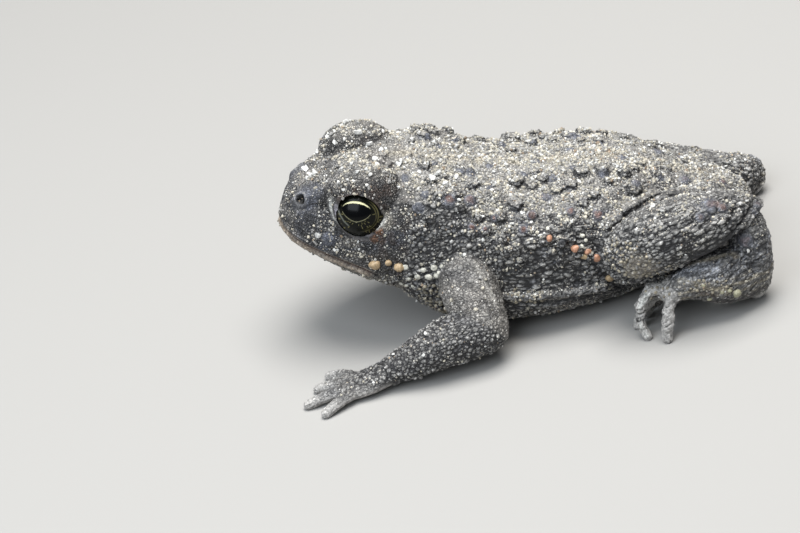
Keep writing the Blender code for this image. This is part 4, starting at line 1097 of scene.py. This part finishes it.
draw = np.random.default_rng(GRAIN_SEED)
corners = [skin_points[skin_quads[:, k]] for k in range(4)]
quad_area = np.linalg.norm(np.cross(corners[2] - corners[0], corners[3] - corners[1]), axis=1)
sown = quad_area * np.clip(dust, 0, 1.3)[skin_quads].mean(axis=1) ** 1.7
sown /= sown.sum()
grain_points, grain_faces = round_form(1)
for name, (count, colour, roughness) in GRAINS.items():
    chosen = draw.choice(len(skin_quads), count, p=sown)
    shares = draw.dirichlet((1, 1, 1, 1), count)
    roots = sum(corners[k][chosen] * shares[:, k : k + 1] for k in range(4))
    stand = normals[skin_quads[chosen, 0]]
    size = GRAIN_RADIUS[0] + (GRAIN_RADIUS[1] - GRAIN_RADIUS[0]) * draw.random(count) ** 3
    if name == "clear_grains":
        for i, (*place, radius) in enumerate(LARGE_GRAINS):
            nearest = far_from(place).argmin()
            roots[i] = skin_points[nearest]
            stand[i] = normals[nearest]
            size[i] = radius
    lumps = draw.standard_normal((count, len(grain_points), 1)).clip(-1.5, 1.5)
    shapes = grain_points[None] * (1 + 0.28 * lumps) * (0.75 + 0.5 * draw.random((count, 1, 3)))
    turns = np.linalg.qr(draw.standard_normal((count, 3, 3)))[0]
    shapes = np.einsum("nij,njk->nik", shapes, turns) * size[:, None, None]
    middles = roots + stand * (size * GRAIN_RAISED)[:, None]
    points = (shapes + middles[:, None]).reshape(-1, 3)
    points[:, 2] = np.maximum(points[:, 2], 0.0)
    faces = (grain_faces[None] + (np.arange(count) * len(grain_points))[:, None, None]).reshape(-1, 3)
    grain_mesh = mesh_of(name, points, faces, smooth=False)
    unwrapped = np.stack([roots[:, 0], np.arctan2(roots[:, 1], roots[:, 2] - UNWRAP_MIDDLE)], axis=1)
    unwrapped = np.clip((unwrapped - UNWRAP_LOW) / (UNWRAP_HIGH - UNWRAP_LOW), 0.01, 0.99)
    patch = unwrapped[:, None] + grain_points[None, :, :2] * (TUFT_PATCH / 2)
    layer = grain_mesh.uv_layers.new(name="OFBake")
    layer.data.foreach_set("uv", patch.reshape(-1, 2)[faces.ravel()].astype(np.float32).ravel())
    finish, add, shade = finish_of(name)
    cloud = add("TexNoise", Vector=add("TexCoord").outputs["Object"], Scale=1500.0, Detail=2.0).outputs["Fac"]
    lighter = ranged(add, cloud, 0.3, 0.7, 0.5, 1.25)
    shade({"Base Color": multiplied(add, (*colour, 1.0), lighter), "Roughness": roughness})
    grain_mesh.materials.append(finish)
    grains = put_in(name, grain_mesh)
    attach(grains, "root")

# The studio: a plain pale matt floor, a broad soft light overhead, a bluish soft box at the front left, and
# a faint bluish light from the room
FLOOR_COLOUR = (0.30, 0.295, 0.285, 1.0)
FLOOR_REACH = 3
ROOM_COLOUR = (0.90, 0.94, 1.0, 1.0)
ROOM_STRENGTH = 0.25
LIGHTS = {  # place, width, power and colour
    "overhead_light": ((0.05, 0.02, 0.48), 0.32, 4.8, (1.0, 0.985, 0.96)),
    "front_light": ((-0.21, -0.24, 0.33), 0.36, 1.9, (0.88, 0.94, 1.0)),
}
floor_mesh = bpy.data.meshes.new("studio_floor")
floor_corners = [(x * FLOOR_REACH, y * FLOOR_REACH, 0) for x, y in ((-1, -1), (1, -1), (1, 1), (-1, 1))]
floor_mesh.from_pydata(floor_corners, [], [(0, 1, 2, 3)])
floor_finish, add, shade = finish_of("matt_floor")
shade({"Base Color": FLOOR_COLOUR, "Roughness": 0.9})
floor_mesh.materials.append(floor_finish)
floor = put_in("studio_floor", floor_mesh)
for name, (place, size, power, colour) in LIGHTS.items():
    lamp = bpy.data.lights.new(name, "AREA")
    lamp.shape = "SQUARE"
    lamp.size = size
    lamp.energy = power
    lamp.color = colour
    lamp_object = put_in(name, lamp)
    lamp_object.location = place
    lamp_object.rotation_euler = (Vector((0, 0, 0.01)) - Vector(place)).to_track_quat("-Z", "Y").to_euler()
world = bpy.data.worlds.new("soft_room")
world.use_nodes = True
world.node_tree.nodes["Background"].inputs["Color"].default_value = ROOM_COLOUR
world.node_tree.nodes["Background"].inputs["Strength"].default_value = ROOM_STRENGTH
bpy.context.scene.world = world
bpy.context.scene.view_settings.view_transform = "Standard"

# The camera stands a third of a metre off the toad's left side with a long lens, looks down on it, and leans
# so that the snout is low in the picture
CAMERA_ELEVATION = math.radians(31.0)
CAMERA_LEAN = math.radians(11.5)
CAMERA_TARGET = (-12.59, -8.0, 10.78)
CAMERA_DISTANCE = 360.0
CAMERA_LENS = 135
level_right = Vector((1, 0, 0))
level_up = Vector((0, math.sin(CAMERA_ELEVATION), math.cos(CAMERA_ELEVATION)))
ahead = Vector((0, math.cos(CAMERA_ELEVATION), -math.sin(CAMERA_ELEVATION)))
right = level_right * math.cos(CAMERA_LEAN) - level_up * math.sin(CAMERA_LEAN)
upward = level_right * math.sin(CAMERA_LEAN) + level_up * math.cos(CAMERA_LEAN)
camera = bpy.data.cameras.new("camera")
camera.lens = CAMERA_LENS
camera.sensor_width = 36
camera.clip_start = 0.01
camera_object = put_in("camera", camera)
camera_object.matrix_world = Matrix((right, upward, -ahead)).transposed().to_4x4()
camera_object.location = (Vector(CAMERA_TARGET) + Vector(CENTRING) - ahead * CAMERA_DISTANCE) * MM
bpy.context.scene.camera = camera_object
